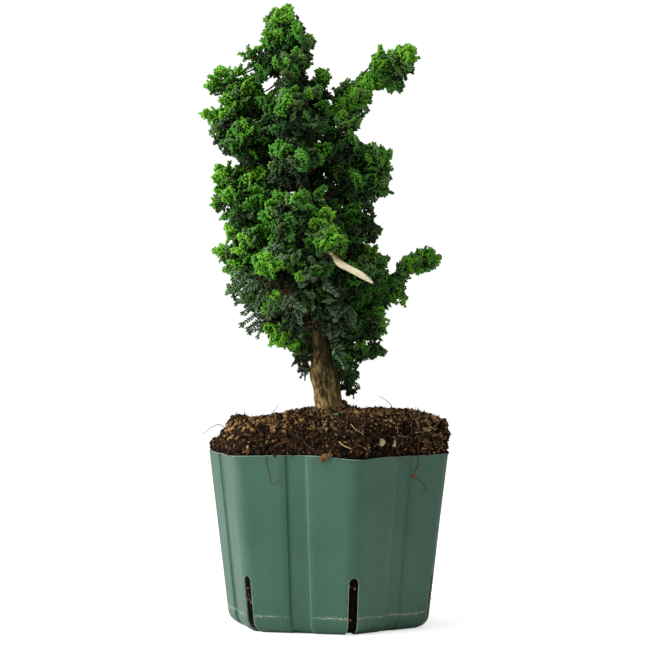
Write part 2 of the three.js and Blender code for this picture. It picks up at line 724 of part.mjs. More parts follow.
/**
 * A mass grown from a seed: its foliage is cut clear of the limbs and of the other masses'
 * stems, and its own stem of the stems made before it. Where the skin that comes out is not
 * sound, the mass is grown again from the next seed.
 */
function makeMass(plan, lines, limbs, otherStems, earlierStems, seed) {
  const area = 4 * Math.PI * plan.spread * (plan.half * 0.6 + plan.spread * 0.4);
  const twigCount = Math.max(TWIG.fewest, Math.round(area / TWIG.area));
  const stem = stemSolid(plan, 0).subtract(limbs).subtract(earlierStems);
  for (let attempt = 0; attempt < TRIES; attempt += 1) {
    const random = seededRandom(seed + attempt * SEED_STEP);
    const ways = spreadDirections(twigCount - Math.floor(attempt / 3), random);
    const grown = ways.flatMap((way) => growTwig(plan, lines, way, random));
    const foliage = joined([coreSolid(plan, random), ...grown]).subtract(limbs).subtract(otherStems);
    const mass = toGeometry(mainBody(foliage.add(stem)));
    if (isSound(mass)) {
      return mass;
    }
  }
  throw new Error(`${plan.name} has no sound skin`);
}

// ---------------------------------------------------------------------------------------
// The whole plant
// ---------------------------------------------------------------------------------------

/** Lime green at the top and the outer tips, blue green low down. */
function foliageFinish(plan) {
  const height = THREE.MathUtils.clamp((plan.centre.z - 180) / 250, 0, 1);
  const color = new THREE.Color(0x2f6b45).lerp(new THREE.Color(0x5aa324), height);
  return { color, roughness: 0.75, metalness: 0 };
}

const plant = new THREE.Group();
plant.add(namedMesh("pot", makePot(), FINISHES.pot));
plant.add(namedMesh("root_ball", makeRootBall(), FINISHES.rootBall));
plant.add(namedMesh("trunk", trunkGeometry(0), FINISHES.trunk));

const plans = [LEADER, ...LIMBS].map(planLimb);
for (const plan of plans) {
  plan.cell = plans.filter((other) => other !== plan).map((other) => partingPlane(plan, other));
}

const clearTrunk = toSolid(trunkGeometry(GAP));
const clearLimbs = [clearTrunk, toSolid(stubGeometry(GAP))];
const stub = mainBody(toSolid(stubGeometry(0)).subtract(clearTrunk));
plant.add(namedMesh("cut_stub", toGeometry(stub), FINISHES.stub));

for (const plan of plans.filter((each) => each.hasBough)) {
  const bough = toSolid(boughGeometry(plan, 0)).subtract(joined(clearLimbs));
  plant.add(namedMesh(`bough_${plan.name}`, toGeometry(mainBody(bough)), FINISHES.bough));
  clearLimbs.push(toSolid(boughGeometry(plan, GAP)));
}

const lines = limbLines(plans);
const limbs = joined(clearLimbs);
const clearStems = plans.map((plan) => stemSolid(plan, GAP));
const nothing = clearTrunk.subtract(clearTrunk);
plans.forEach((plan, index) => {
  const earlierStems = clearStems.slice(0, index).reduce((sum, stem) => sum.add(stem), nothing);
  const otherStems = joined([earlierStems, ...clearStems.slice(index + 1)]);
  const mass = makeMass(plan, lines, limbs, otherStems, earlierStems, SEED + index);
  plant.add(namedMesh(`foliage_${plan.name}`, mass, foliageFinish(plan)));
});

export default plant;
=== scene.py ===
"""A dwarf hinoki cypress in a hexagonal nursery pot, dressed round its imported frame.

Sizes here are in millimetres and angles in degrees, as in the part's own source, and a mesh
is brought to metres when it is made. +Z is up and -Y is the front.
"""

import json  # noqa: E402
import logging  # noqa: E402
from collections.abc import Callable  # noqa: E402
from dataclasses import dataclass, field  # noqa: E402
from enum import Enum  # noqa: E402

import bmesh  # noqa: E402
import bpy  # noqa: E402
import numpy as np  # noqa: E402
from mathutils import Matrix, Vector  # noqa: E402

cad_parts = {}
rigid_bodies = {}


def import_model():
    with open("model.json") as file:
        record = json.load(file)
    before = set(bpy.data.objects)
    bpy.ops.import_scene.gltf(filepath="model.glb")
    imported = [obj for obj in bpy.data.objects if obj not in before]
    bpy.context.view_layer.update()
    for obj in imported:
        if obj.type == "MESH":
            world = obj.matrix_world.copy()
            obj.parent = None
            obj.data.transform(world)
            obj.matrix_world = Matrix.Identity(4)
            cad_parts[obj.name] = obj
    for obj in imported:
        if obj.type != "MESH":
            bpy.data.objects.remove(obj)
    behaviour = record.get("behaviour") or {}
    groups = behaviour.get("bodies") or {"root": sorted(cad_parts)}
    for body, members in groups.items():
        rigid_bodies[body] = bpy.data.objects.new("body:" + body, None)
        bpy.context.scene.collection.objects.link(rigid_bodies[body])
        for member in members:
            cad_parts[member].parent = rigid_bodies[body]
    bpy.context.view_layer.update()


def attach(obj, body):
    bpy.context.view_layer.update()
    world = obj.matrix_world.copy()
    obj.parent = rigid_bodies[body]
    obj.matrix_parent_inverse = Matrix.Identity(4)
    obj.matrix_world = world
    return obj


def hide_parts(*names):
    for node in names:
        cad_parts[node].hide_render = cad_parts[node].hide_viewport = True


log = logging.getLogger("hinoki")

MM = 0.001
GOLDEN_TURN = np.pi * (3 - np.sqrt(5))
UP = np.array([0.0, 0.0, 1.0])
Tree = bpy.types.NodeTree
Socket = bpy.types.NodeSocket
Input = Socket | float | tuple
Draw = np.random.Generator
Value = float | np.ndarray


# ---------------------------------------------------------------------------------------
# Numbers and points
# ---------------------------------------------------------------------------------------


def lerp(a: Value, b: Value, share: Value) -> Value:
    """The value a share of the way from a to b."""
    return a + (b - a) * share


def smooth_step(low: float, high: float, value: Value) -> Value:
    """A share that rises smoothly from 0 at low to 1 at high."""
    share = np.clip((np.asarray(value, float) - low) / (high - low), 0, 1)
    return share * share * (3 - 2 * share)


def heading(degrees: Value) -> np.ndarray:
    """The level direction, or directions, at an angle from the front towards +X."""
    turn = np.radians(degrees)
    return np.stack([np.sin(turn), -np.cos(turn)], axis=-1)


def unit(vectors: np.ndarray) -> np.ndarray:
    """Vectors brought to length one."""
    length = np.linalg.norm(vectors, axis=-1, keepdims=True)
    return vectors / np.maximum(length, 1e-9)


def square_to(direction: np.ndarray) -> tuple[np.ndarray, np.ndarray]:
    """Two unit vectors at right angles to a direction and to each other."""
    helper = UP if abs(direction[2]) < 0.9 else np.array([1.0, 0, 0])
    side = unit(np.cross(helper, direction))
    return side, np.cross(direction, side)


def lattice_noise(points: np.ndarray, seed: int = 0) -> np.ndarray:
    """Smooth noise in space, the same on every run.

    Args:
        points: An n by 3 array, in units of the noise's own cell.
        seed: Picks one field of noise.

    Returns:
        n values from -1 to 1.
    """
    cell = np.floor(points).astype(np.int64)
    share = points - cell
    share = share * share * (3 - 2 * share)
    total = np.zeros(len(points))
    for corner in np.ndindex(2, 2, 2):
        at = cell + corner
        mixed = at[:, 0] * 374761393 + at[:, 1] * 668265263 + at[:, 2] * 2147483647
        mixed = (mixed + seed * 1274126177) & 0xFFFFFFFF
        mixed = ((mixed ^ (mixed >> 13)) * 1274126177) & 0xFFFFFFFF
        mixed = ((mixed ^ (mixed >> 16)) * 2246822519) & 0xFFFFFFFF
        value = ((mixed >> 8) & 0xFFFF) / 32767.5 - 1
        total += value * np.prod(np.where(corner, share, 1 - share), axis=1)
    return total


def rough_noise(points: np.ndarray, seed: int, layers: int = 3) -> np.ndarray:
    """Noise with finer and weaker layers on top, from about -1 to 1."""
    sizes = 0.5 ** np.arange(layers)
    parts = [lattice_noise(points * 2**i + 17.3 * i, seed + i) * s for i, s in enumerate(sizes)]
    return sum(parts) / sizes.sum() * 1.4


def fibonacci_directions(count: int, turn: float) -> np.ndarray:
    """Evenly spread directions, turned about the upright by an angle in radians."""
    index = np.arange(count)
    height = 1 - 2 * (index + 0.5) / count
    around = turn + index * GOLDEN_TURN
    level = np.sqrt(1 - height * height)
    return np.stack([level * np.cos(around), level * np.sin(around), height], axis=-1)


def carried_frames(path: np.ndarray) -> tuple[np.ndarray, np.ndarray]:
    """Two vectors across each point of a path, carried along it without twist."""
    ahead = unit(np.gradient(path, axis=0))
    side, _ = square_to(ahead[0])
    sides = []
    for direction in ahead:
        side = unit(side - direction * (side @ direction))
        sides.append(side)
    sides = np.array(sides)
    return sides, np.cross(ahead, sides)


def path_lengths(path: np.ndarray) -> np.ndarray:
    """How far along a path each of its points is."""
    steps = np.linalg.norm(np.diff(path, axis=0), axis=1)
    return np.concatenate([[0], np.cumsum(steps)])


def resample(path: np.ndarray, shares: np.ndarray) -> np.ndarray:
    """Points of a path at shares of its length."""
    lengths = path_lengths(path)
    wanted = np.asarray(shares) * lengths[-1]
    return np.stack([np.interp(wanted, lengths, path[:, i]) for i in range(3)], axis=-1)


def spline(points: np.ndarray, count: int) -> np.ndarray:
    """A smooth line through points, evenly spaced along its length."""
    points = np.asarray(points, float)
    padded = np.vstack([2 * points[0] - points[1], points, 2 * points[-1] - points[-2]])
    fine = []
    for i in range(len(points) - 1):
        p0, p1, p2, p3 = padded[i : i + 4]
        t = np.linspace(0, 1, 24, endpoint=False)[:, None]
        curve = 2 * p1 + (p2 - p0) * t + (2 * p0 - 5 * p1 + 4 * p2 - p3) * t**2
        fine.append((curve + (3 * p1 - p0 - 3 * p2 + p3) * t**3) / 2)
    return resample(np.vstack([*fine, points[-1:]]), np.linspace(0, 1, count))


# ---------------------------------------------------------------------------------------
# Meshes
# ---------------------------------------------------------------------------------------


def make_mesh(name: str, points: np.ndarray, faces: list, smooth: bool = True) -> bpy.types.Mesh:
    """A mesh from points in millimetres.

    Args:
        name: The mesh's name.
        points: An n by 3 array in millimetres.
        faces: Lists of corner indices, seen counter-clockwise from outside.
        smooth: Whether faces are shaded smooth.

    Returns:
        The mesh, in metres.
    """
    mesh = bpy.data.meshes.new(name)
    mesh.from_pydata((np.asarray(points) * MM).tolist(), [], faces)
    mesh.polygons.foreach_set("use_smooth", [smooth] * len(mesh.polygons))
    mesh.update()
    return mesh


def link(name: str, mesh: bpy.types.Mesh) -> bpy.types.Object:
    """A new object in the scene that shows a mesh."""
    thing = bpy.data.objects.new(name, mesh)
    bpy.context.scene.collection.objects.link(thing)
    return thing


def store(mesh: bpy.types.Mesh, name: str, values: np.ndarray) -> None:
    """Keeps a value for each corner point of a mesh, for its material or a node tree."""
    values = np.asarray(values)
    kind, key = "FLOAT", "value"
    if values.dtype.kind == "i":
        kind = "INT"
    elif values.ndim == 2:
        kind, key = ("QUATERNION", "value") if values.shape[1] == 4 else ("FLOAT_VECTOR", "vector")
    attribute = mesh.attributes.new(name, kind, "POINT")
    attribute.data.foreach_set(key, values.ravel())


def skin_faces(rings: int, columns: int, first: int = 0) -> list:
    """Quads between rings of equally many points, each ring closed on itself."""
    faces = []
    for ring in range(rings - 1):
        for i in range(columns):
            j = (i + 1) % columns
            a, b = first + ring * columns + i, first + ring * columns + j
            faces.append((a, b, b + columns, a + columns))
    return faces


def loft(rings: np.ndarray) -> tuple[np.ndarray, list]:
    """A closed skin over rings, each end closed to its own middle.

    Args:
        rings: A rings by columns by 3 array of points.

    Returns:
        The points and the faces.
    """
    count, columns, _ = rings.shape
    points = np.vstack([rings.reshape(-1, 3), rings[0].mean(axis=0), rings[-1].mean(axis=0)])
    faces = skin_faces(count, columns)
    start, end = count * columns, count * columns + 1
    last = (count - 1) * columns
    for i in range(columns):
        j = (i + 1) % columns
        faces.append((start, j, i))
        faces.append((end, last + i, last + j))
    return points, faces


def tube_rings(path: np.ndarray, reach: np.ndarray) -> np.ndarray:
    """Rings round a path. reach holds, for each point of it, a radius for each column."""
    side, over = carried_frames(path)
    columns = reach.shape[1]
    angles = np.arange(columns) * 2 * np.pi / columns
    around = side[:, None] * np.cos(angles)[:, None] + over[:, None] * np.sin(angles)[:, None]
    return path[:, None] + around * reach[:, :, None]


def evaluated_copy(thing: bpy.types.Object, name: str) -> bpy.types.Object:
    """A plain object with what an object's modifiers make. The first object goes."""
    graph = bpy.context.evaluated_depsgraph_get()
    mesh = bpy.data.meshes.new_from_object(thing.evaluated_get(graph), depsgraph=graph)
    old = thing.data
    bpy.data.objects.remove(thing)
    if old.users == 0:
        bpy.data.meshes.remove(old)
    mesh.name = name
    return link(name, mesh)


# ---------------------------------------------------------------------------------------
# Node trees
# ---------------------------------------------------------------------------------------


class Sketch:
    """A node tree being drawn: it adds nodes and joins them by the names of their sockets."""

    def __init__(self, tree: Tree) -> None:
        """Starts on a tree, with whatever it already holds."""
        self.tree = tree

    @staticmethod
    def socket(sockets: bpy.types.NodeInputs | bpy.types.NodeOutputs, key: str) -> Socket:
        """A node's socket by its identifier, or else by its name."""
        for one in sockets:
            if one.identifier == key:
                return one
        return next(one for one in sockets if one.name == key)

    def add(self, kind: str, inputs: dict | None = None, **settings) -> bpy.types.Node:
        """A new node.

        Args:
            kind: Blender's name for the type of node.
            inputs: Values by socket. An output socket is joined, anything else is set.
            **settings: Options of the node itself.

        Returns:
            The node.
        """
        node = self.tree.nodes.new(kind)
        for key, value in settings.items():
            setattr(node, key, value)
        for key, value in (inputs or {}).items():
            target = self.socket(node.inputs, key)
            if isinstance(value, Socket):
                self.tree.links.new(value, target)
            else:
                target.default_value = value
        return node

    def maths(self, operation: str, a: Input, b: Input = 0.0, clamp: bool = False) -> Socket:
        """The result of an operation on one or two numbers."""
        node = self.add("ShaderNodeMath", {"Value": a, "Value_001": b}, operation=operation)
        node.use_clamp = clamp
        return node.outputs[0]

    def span(
        self, value: Input, low: float, high: float, to_low: float = 0.0, to_high: float = 1.0
    ) -> Socket:
        """A value brought smoothly from one range to another, and held inside it."""
        inputs = {"Value": value, "From Min": low, "From Max": high, "To Min": to_low, "To Max": to_high}
        return self.add("ShaderNodeMapRange", inputs, interpolation_type="SMOOTHSTEP").outputs[0]

    def blend(self, share: Input, a: Input, b: Input, way: str = "MIX") -> Socket:
        """Two colours mixed by a share."""
        inputs = {"Factor_Float": share, "A_Color": a, "B_Color": b}
        node = self.add("ShaderNodeMix", inputs, data_type="RGBA", blend_type=way)
        return self.socket(node.outputs, "Result_Color")

    def noise(self, where: Input, scale: Input, detail: float = 3.0, rough: float = 0.55) -> Socket:
        """The value of a noise texture."""
        inputs = {"Vector": where, "Scale": scale, "Detail": detail, "Roughness": rough}
        return self.add("ShaderNodeTexNoise", inputs).outputs[0]

    def cells(self, where: Input, scale: Input) -> Socket:
        """The distance to the nearest of many scattered points."""
        return self.add("ShaderNodeTexVoronoi", {"Vector": where, "Scale": scale}).outputs["Distance"]

    def stretched(self, where: Input, scale: tuple) -> Socket:
        """A position scaled by a different amount along each axis."""
        node = self.add("ShaderNodeMapping", {"Vector": where, "Scale": scale})
        return node.outputs[0]

    def attribute(self, name: str, output: str = "Fac") -> Socket:
        """A value kept on the mesh."""
        return self.add("ShaderNodeAttribute", attribute_name=name).outputs[output]

    def place(self) -> Socket:
        """The position in the object's own space."""
        return self.add("ShaderNodeTexCoord").outputs["Object"]


def new_tree(name: str, kind: str, inputs: dict[str, str], outputs: dict[str, str]) -> Tree:
    """An empty node group with its named inputs and outputs.

    Args:
        name: The group's name.
        kind: ShaderNodeTree or GeometryNodeTree.
        inputs: Socket types, such as Float, by name.
        outputs: The same for what the group gives.

    Returns:
        The tree.
    """
    tree = bpy.data.node_groups.new(name, kind)
    for way, sockets in (("INPUT", inputs), ("OUTPUT", outputs)):
        for label, what in sockets.items():
            tree.interface.new_socket(label, in_out=way, socket_type=f"NodeSocket{what}")
    return tree


def colour(red: int, green: int, blue: int) -> tuple[float, float, float, float]:
    """A colour from its sRGB values of 0 to 255, as light."""
    shares = np.array([red, green, blue]) / 255
    light = np.where(shares <= 0.04045, shares / 12.92, ((shares + 0.055) / 1.055) ** 2.4)
    return (*(float(x) for x in light), 1.0)


class Effects:
    """The shader effects that several finishes share, each built once as a group."""

    _built: dict[str, Tree] = {}

    @classmethod
    def _group(cls, name: str, inputs: dict, outputs: dict, draw: Callable) -> Tree:
        """A shader group, drawn when it is first asked for."""
        if name not in cls._built:
            tree = new_tree(name, "ShaderNodeTree", inputs, outputs)
            sketch = Sketch(tree)
            given = sketch.add("NodeGroupInput").outputs
            results = draw(sketch, {label: given[label] for label in inputs})
            sketch.add("NodeGroupOutput", results)
            cls._built[name] = tree
        return cls._built[name]

    @classmethod
    def use(cls, sketch: Sketch, tree: Tree, inputs: dict) -> bpy.types.NodeOutputs:
        """Places a group in a material with its own values."""
        node = sketch.add("ShaderNodeGroup", node_tree=tree)
        for key, value in inputs.items():
            if isinstance(value, Socket):
                sketch.tree.links.new(value, node.inputs[key])
            else:
                node.inputs[key].default_value = value
        return node.outputs

    @classmethod
    def drift(cls) -> Tree:
        """A base colour that drifts towards two others, in large soft patches and fine specks."""

        def draw(s: Sketch, given: dict) -> dict:
            """Draws the group's nodes and gives its outputs by name."""
            broad = s.span(s.noise(given["Where"], given["Scale"], 2), 0.35, 0.65)
            fine = s.span(s.noise(s.stretched(given["Where"], (7, 7, 7)), given["Scale"], 3), 0.4, 0.7)
            first = s.blend(broad, given["Base"], given["Patches"])
            share = s.maths("MULTIPLY", fine, given["Speckle"])
            return {"Color": s.blend(share, first, given["Specks"])}

        inputs = {"Where": "Vector", "Scale": "Float", "Speckle": "Float"}
        inputs |= {"Base": "Color", "Patches": "Color", "Specks": "Color"}
        return cls._group("colour_drift", inputs, {"Color": "Color"}, draw)

    @classmethod
    def wear(cls) -> Tree:
        """Worn edges: a mask that is broken up where the stored wear is slight."""

        def draw(s: Sketch, given: dict) -> dict:
            """Draws the group's nodes and gives its outputs by name."""
            torn = s.noise(given["Where"], given["Scale"], 4, 0.65)
            level = s.maths("ADD", given["Wear"], s.maths("MULTIPLY", torn, given["Breakup"]))
            return {"Mask": s.span(level, 0.62, 0.98)}

        inputs = {"Where": "Vector", "Wear": "Float", "Scale": "Float", "Breakup": "Float"}
        return cls._group("edge_wear", inputs, {"Mask": "Float"}, draw)

    @classmethod
    def grain(cls) -> Tree:
        """Fibres along Z of the given position: a height, and a mask of the dark lines."""

        def draw(s: Sketch, given: dict) -> dict:
            """Draws the group's nodes and gives its outputs by name."""
            long_way = s.stretched(given["Where"], (1, 1, 0.12))
            broad = s.noise(long_way, given["Scale"], 3, 0.6)
            fine = s.noise(s.stretched(long_way, (4, 4, 3)), given["Scale"], 2, 0.7)
            height = s.maths("ADD", broad, s.maths("MULTIPLY", fine, 0.45))
            return {"Height": height, "Lines": s.span(height, 0.78, 0.52)}

        outputs = {"Height": "Float", "Lines": "Float"}
        return cls._group("fibre_grain", {"Where": "Vector", "Scale": "Float"}, outputs, draw)

    @classmethod
    def rubs(cls) -> Tree:
        """Light streaks along Z and scattered specks, such as dust and scuffs on plastic."""

        def draw(s: Sketch, given: dict) -> dict:
            """Draws the group's nodes and gives its outputs by name."""
            streak = s.noise(s.stretched(given["Where"], (1, 1, 0.06)), given["Scale"], 4, 0.7)
            patch = s.span(s.noise(given["Where"], 22, 2), 0.4, 0.62)
            lines = s.maths("MULTIPLY", s.span(streak, 0.56, 0.72), patch)
            dots = s.maths("MULTIPLY", s.span(s.cells(given["Where"], 420), 0.16, 0.05), patch)
            return {"Streaks": lines, "Specks": dots}

        outputs = {"Streaks": "Float", "Specks": "Float"}
        return cls._group("dust_rubs", {"Where": "Vector", "Scale": "Float"}, outputs, draw)


# ---------------------------------------------------------------------------------------
# Finishes
# ---------------------------------------------------------------------------------------


@dataclass(frozen=True)
class Finish:
    """What every finish has: a name, and the gloss of its surface."""

    name: str
    roughness: float = 0.7
    specular: float = 0.4

    def start(self) -> tuple[bpy.types.Material, Sketch, bpy.types.Node]:
        """A material with the settings that are the same all over it, ready to be drawn on."""
        material = bpy.data.materials.new(self.name)
        material.use_nodes = True
        shader = material.node_tree.nodes["Principled BSDF"]
        shader.inputs["Roughness"].default_value = self.roughness
        shader.inputs["Specular IOR Level"].default_value = self.specular
        return material, Sketch(material.node_tree), shader

    @staticmethod
    def bump(sketch: Sketch, shader: bpy.types.Node, height: Socket, depth: float) -> None:
        """Presses a height into a shader's surface, at a depth in millimetres."""
        node = sketch.add("ShaderNodeBump", {"Height": height, "Distance": depth * MM})
        sketch.tree.links.new(node.outputs[0], shader.inputs["Normal"])

    @staticmethod
    def paint(
        sketch: Sketch, shader: bpy.types.Node, result: Socket, roughness: Socket | None = None
    ) -> None:
        """Joins a colour, and a roughness where there is one, to a shader."""
        sketch.tree.links.new(result, shader.inputs["Base Color"])
        if roughness is not None:
            sketch.tree.links.new(roughness, shader.inputs["Roughness"])


@dataclass(frozen=True)
class PlasticFinish(Finish):
    """Thin moulded plastic: satin, rubbed pale along its rim and slot lips, the slot lips partly a painted
    highlight, with a painted highlight along one edge of each band, dusty and scuffed.
    """

    base: tuple = colour(47, 91, 70)
    faded: tuple = colour(56, 99, 78)
    deep: tuple = colour(43, 82, 62)
    worn: tuple = colour(150, 172, 156)
    dust: tuple = colour(172, 178, 160)
    rim_line: float = 0.75  # width of the pale line along the rim, in millimetres
    # width of the pale line round the slots: wear, and partly a painted highlight
    slot_line: float = 0.8
    # width of the painted highlight along one edge of each band
    ridge_line: float = 0.5
    scuff_height: float = 12.6  # of the torn line round the foot
    scuff_wander: float = 3.2

    def _scuffs(self, s: Sketch, place: Socket) -> Socket:
        """A torn pale line round the foot, with frayed bits beside it."""
        height = s.maths("MULTIPLY", s.add("ShaderNodeSeparateXYZ", {"Vector": place}).outputs["Z"], 1 / MM)
        swing = s.maths("MULTIPLY", s.maths("SUBTRACT", s.noise(place, 55, 4, 0.6), 0.5), self.scuff_wander)
        line = s.maths("ADD", swing, self.scuff_height)
        gap = s.maths("ABSOLUTE", s.maths("SUBTRACT", height, line))
        whole = s.span(s.noise(s.stretched(place, (1, 1, 0.2)), 30, 3), 0.4, 0.52)
        chips = s.noise(place, 700, 3, 0.7)
        thin = s.maths("MULTIPLY", s.span(gap, 0.5, 0.15), s.span(chips, 0.4, 0.52))
        bits = s.span(s.noise(s.stretched(place, (1, 1, 2.5)), 420, 5, 0.75), 0.54, 0.6)
        frayed = s.maths("MULTIPLY", s.span(gap, 2.6, 0.3), bits)
        return s.maths("MULTIPLY", s.maths("MAXIMUM", thin, frayed), whole)

    def material(self) -> bpy.types.Material:
        """Builds the material."""
        made, s, shader = self.start()
        place = s.place()
        drift = {"Where": place, "Scale": 16, "Speckle": 0.25}
        drift |= {"Base": self.base, "Patches": self.faded, "Specks": self.deep}
        paint = Effects.use(s, Effects.drift(), drift)["Color"]
        rubs = Effects.use(s, Effects.rubs(), {"Where": place, "Scale": 260})
        paint = s.blend(s.maths("MULTIPLY", rubs["Streaks"], 0.25), paint, self.faded)
        paint = s.blend(s.maths("MULTIPLY", rubs["Specks"], 0.3), paint, self.dust)
        paint = s.blend(s.maths("MULTIPLY", self._scuffs(s, place), 0.75), paint, self.dust)
        rim = s.span(s.attribute("rim_gap"), self.rim_line, self.rim_line * 0.3)
        slot = s.span(s.attribute("slot_gap"), self.slot_line, self.slot_line * 0.3)
        # A painted highlight along one edge of each sunk band.
        ridge = s.maths("MULTIPLY", s.span(s.attribute("ridge_gap"), self.ridge_line, 0.1), 0.34)
        paint = s.blend(ridge, paint, self.worn)
        # Pale rim and slot lips: wear, the slot lips partly a painted highlight.
        edge = s.maths("MULTIPLY", s.maths("MAXIMUM", rim, slot), 0.75)
        wear = {"Where": place, "Wear": edge, "Scale": 240, "Breakup": 0.5}
        worn = Effects.use(s, Effects.wear(), wear)["Mask"]
        paint = s.blend(s.maths("MULTIPLY", worn, 0.8), paint, self.worn)
        soiled = s.maths("MULTIPLY", s.attribute("soiled"), s.span(s.noise(place, 300, 4), 0.45, 0.62))
        paint = s.blend(s.maths("MULTIPLY", soiled, 0.6), paint, colour(62, 48, 36))
        rough = s.maths("ADD", self.roughness, s.maths("MULTIPLY", rubs["Streaks"], 0.15))
        self.paint(s, shader, paint, s.maths("ADD", rough, s.maths("MULTIPLY", worn, 0.2)))
        self.bump(s, shader, s.noise(place, 900, 3), 0.05)
        return made


@dataclass(frozen=True)
class SoilFinish(Finish):
    """Peat and what lies in it: one dark colour broken up by two others."""

    base: tuple = colour(46, 32, 22)
    patches: tuple = colour(30, 21, 15)
    specks: tuple = colour(92, 66, 42)
    speckle: float = 0.5
    scale: float = 130
    shaded_where_hidden: bool = False  # whether it is near black below the brim, in the slots too, as painted shade

    def material(self) -> bpy.types.Material:
        """Builds the material."""
        made, s, shader = self.start()
        place = s.place()
        drift = {"Where": place, "Scale": self.scale, "Speckle": self.speckle}
        drift |= {"Base": self.base, "Patches": self.patches, "Specks": self.specks}
        paint = Effects.use(s, Effects.drift(), drift)["Color"]
        if self.shaded_where_hidden:
            # Painted shade: below the brim, in the slots too, the peat goes near black.
            paint = s.blend(s.maths("SUBTRACT", 1.0, s.attribute("open")), paint, colour(10, 8, 6))
        self.paint(s, shader, paint)
        self.bump(s, shader, s.noise(place, self.scale * 9, 4, 0.7), 0.5)
        return made


def earth(name: str, roughness: float, specular: float, *shades: tuple[int, int, int]) -> SoilFinish:
    """A soil finish from its shades, each as red, green and blue up to 255."""
    return SoilFinish(name, roughness, specular, *(colour(*shade) for shade in shades))


@dataclass(frozen=True)
class BarkFinish(Finish):
    """Fibrous bark that follows the limb, with dark grooves and a film of algae. On the trunk, the stored
    groove value also carries painted shade.
    """

    base: tuple = colour(154, 125, 72)
    pale: tuple = colour(222, 196, 132)
    groove: tuple = colour(30, 21, 13)
    algae: tuple = colour(94, 92, 46)

    def material(self) -> bpy.types.Material:
        """Builds the material."""
        made, s, shader = self.start()
        along = s.attribute("grain", "Vector")
        grain = Effects.use(s, Effects.grain(), {"Where": along, "Scale": 2.2})
        drift = {"Where": along, "Scale": 0.4, "Speckle": 0.6}
        drift |= {"Base": self.base, "Patches": self.pale, "Specks": self.groove}
        paint = Effects.use(s, Effects.drift(), drift)["Color"]
        flecks = s.span(s.noise(s.stretched(along, (1, 1, 0.5)), 3.2, 4, 0.7), 0.62, 0.72)
        paint = s.blend(s.maths("MULTIPLY", flecks, 0.75), paint, self.pale)
        paint = s.blend(s.maths("MULTIPLY", grain["Lines"], 0.8), paint, self.groove)
        # The stored groove value: grooves and knots, and on the trunk painted shade too.
        paint = s.blend(s.maths("MULTIPLY", s.attribute("groove"), 0.85), paint, self.groove)
        film = s.maths("MULTIPLY", s.attribute("algae"), s.span(s.noise(along, 1.3, 4), 0.35, 0.6))
        film = s.maths("MULTIPLY", film, s.maths("SUBTRACT", 1.0, s.attribute("groove")))
        self.paint(s, shader, s.blend(s.maths("MULTIPLY", film, 0.75), paint, self.algae))
        self.bump(s, shader, grain["Height"], 0.5)
        return made


@dataclass(frozen=True)
class CutWoodFinish(Finish):
    """Bare wood with fine fibres, brown where the bark was torn off it."""

    base: tuple = colour(250, 236, 194)
    pale: tuple = colour(253, 246, 216)
    line: tuple = colour(204, 180, 134)
    torn: tuple = colour(118, 82, 50)

    def material(self) -> bpy.types.Material:
        """Builds the material."""
        made, s, shader = self.start()
        along = s.attribute("grain", "Vector")
        grain = Effects.use(s, Effects.grain(), {"Where": along, "Scale": 2.6})
        drift = {"Where": along, "Scale": 0.5, "Speckle": 0.3}
        drift |= {"Base": self.base, "Patches": self.pale, "Specks": self.line}
        paint = Effects.use(s, Effects.drift(), drift)["Color"]
        paint = s.blend(s.maths("MULTIPLY", grain["Lines"], 0.55), paint, self.line)
        wear = {"Where": along, "Wear": s.attribute("torn"), "Scale": 1.5, "Breakup": 0.6}
        torn = Effects.use(s, Effects.wear(), wear)["Mask"]
        self.paint(s, shader, s.blend(torn, paint, self.torn))
        self.bump(s, shader, grain["Height"], 0.25)
        return made


@dataclass(frozen=True)
class LeafFinish(Finish):
    """Soft scale leaves of one tint. The tints are dealt out by spray."""

    tint: tuple = colour(60, 120, 40)

    def material(self) -> bpy.types.Material:
        """Builds the material."""
        made, _, shader = self.start()
        shader.inputs["Base Color"].default_value = self.tint
        made.diffuse_color = self.tint
        return made


@dataclass(frozen=True)
class FloorFinish(Finish):
    """The studio floor, lifted towards white for the camera, less so beside the pot, which paints a soft
    shadow there.
    """

    tint: tuple = colour(246, 246, 246)
    lift: float = 0.81  # how much brighter it looks to the camera than its light makes it
    painted_shadow_lift: float = 0.62  # the same beside the pot, lower, which paints a soft shadow round it
    near: tuple[float, float] = (0.1, 1.4)  # how far that reaches, in metres

    def material(self) -> bpy.types.Material:
        """Builds the material."""
        made, s, shader = self.start()
        shader.inputs["Base Color"].default_value = self.tint
        shader.inputs["Emission Color"].default_value = (1, 1, 1, 1)
        seen = s.add("ShaderNodeLightPath").outputs["Is Camera Ray"]
        away = s.add("ShaderNodeVectorMath", {"Vector": s.place()}, operation="LENGTH").outputs["Value"]
        # Less lift near the pot: a painted shadow.
        lift = s.span(away, *self.near, self.painted_shadow_lift, self.lift)
        s.tree.links.new(s.maths("MULTIPLY", seen, lift), shader.inputs["Emission Strength"])
        return made


# ---------------------------------------------------------------------------------------
# Node trees that repeat things and clothe paths
# ---------------------------------------------------------------------------------------


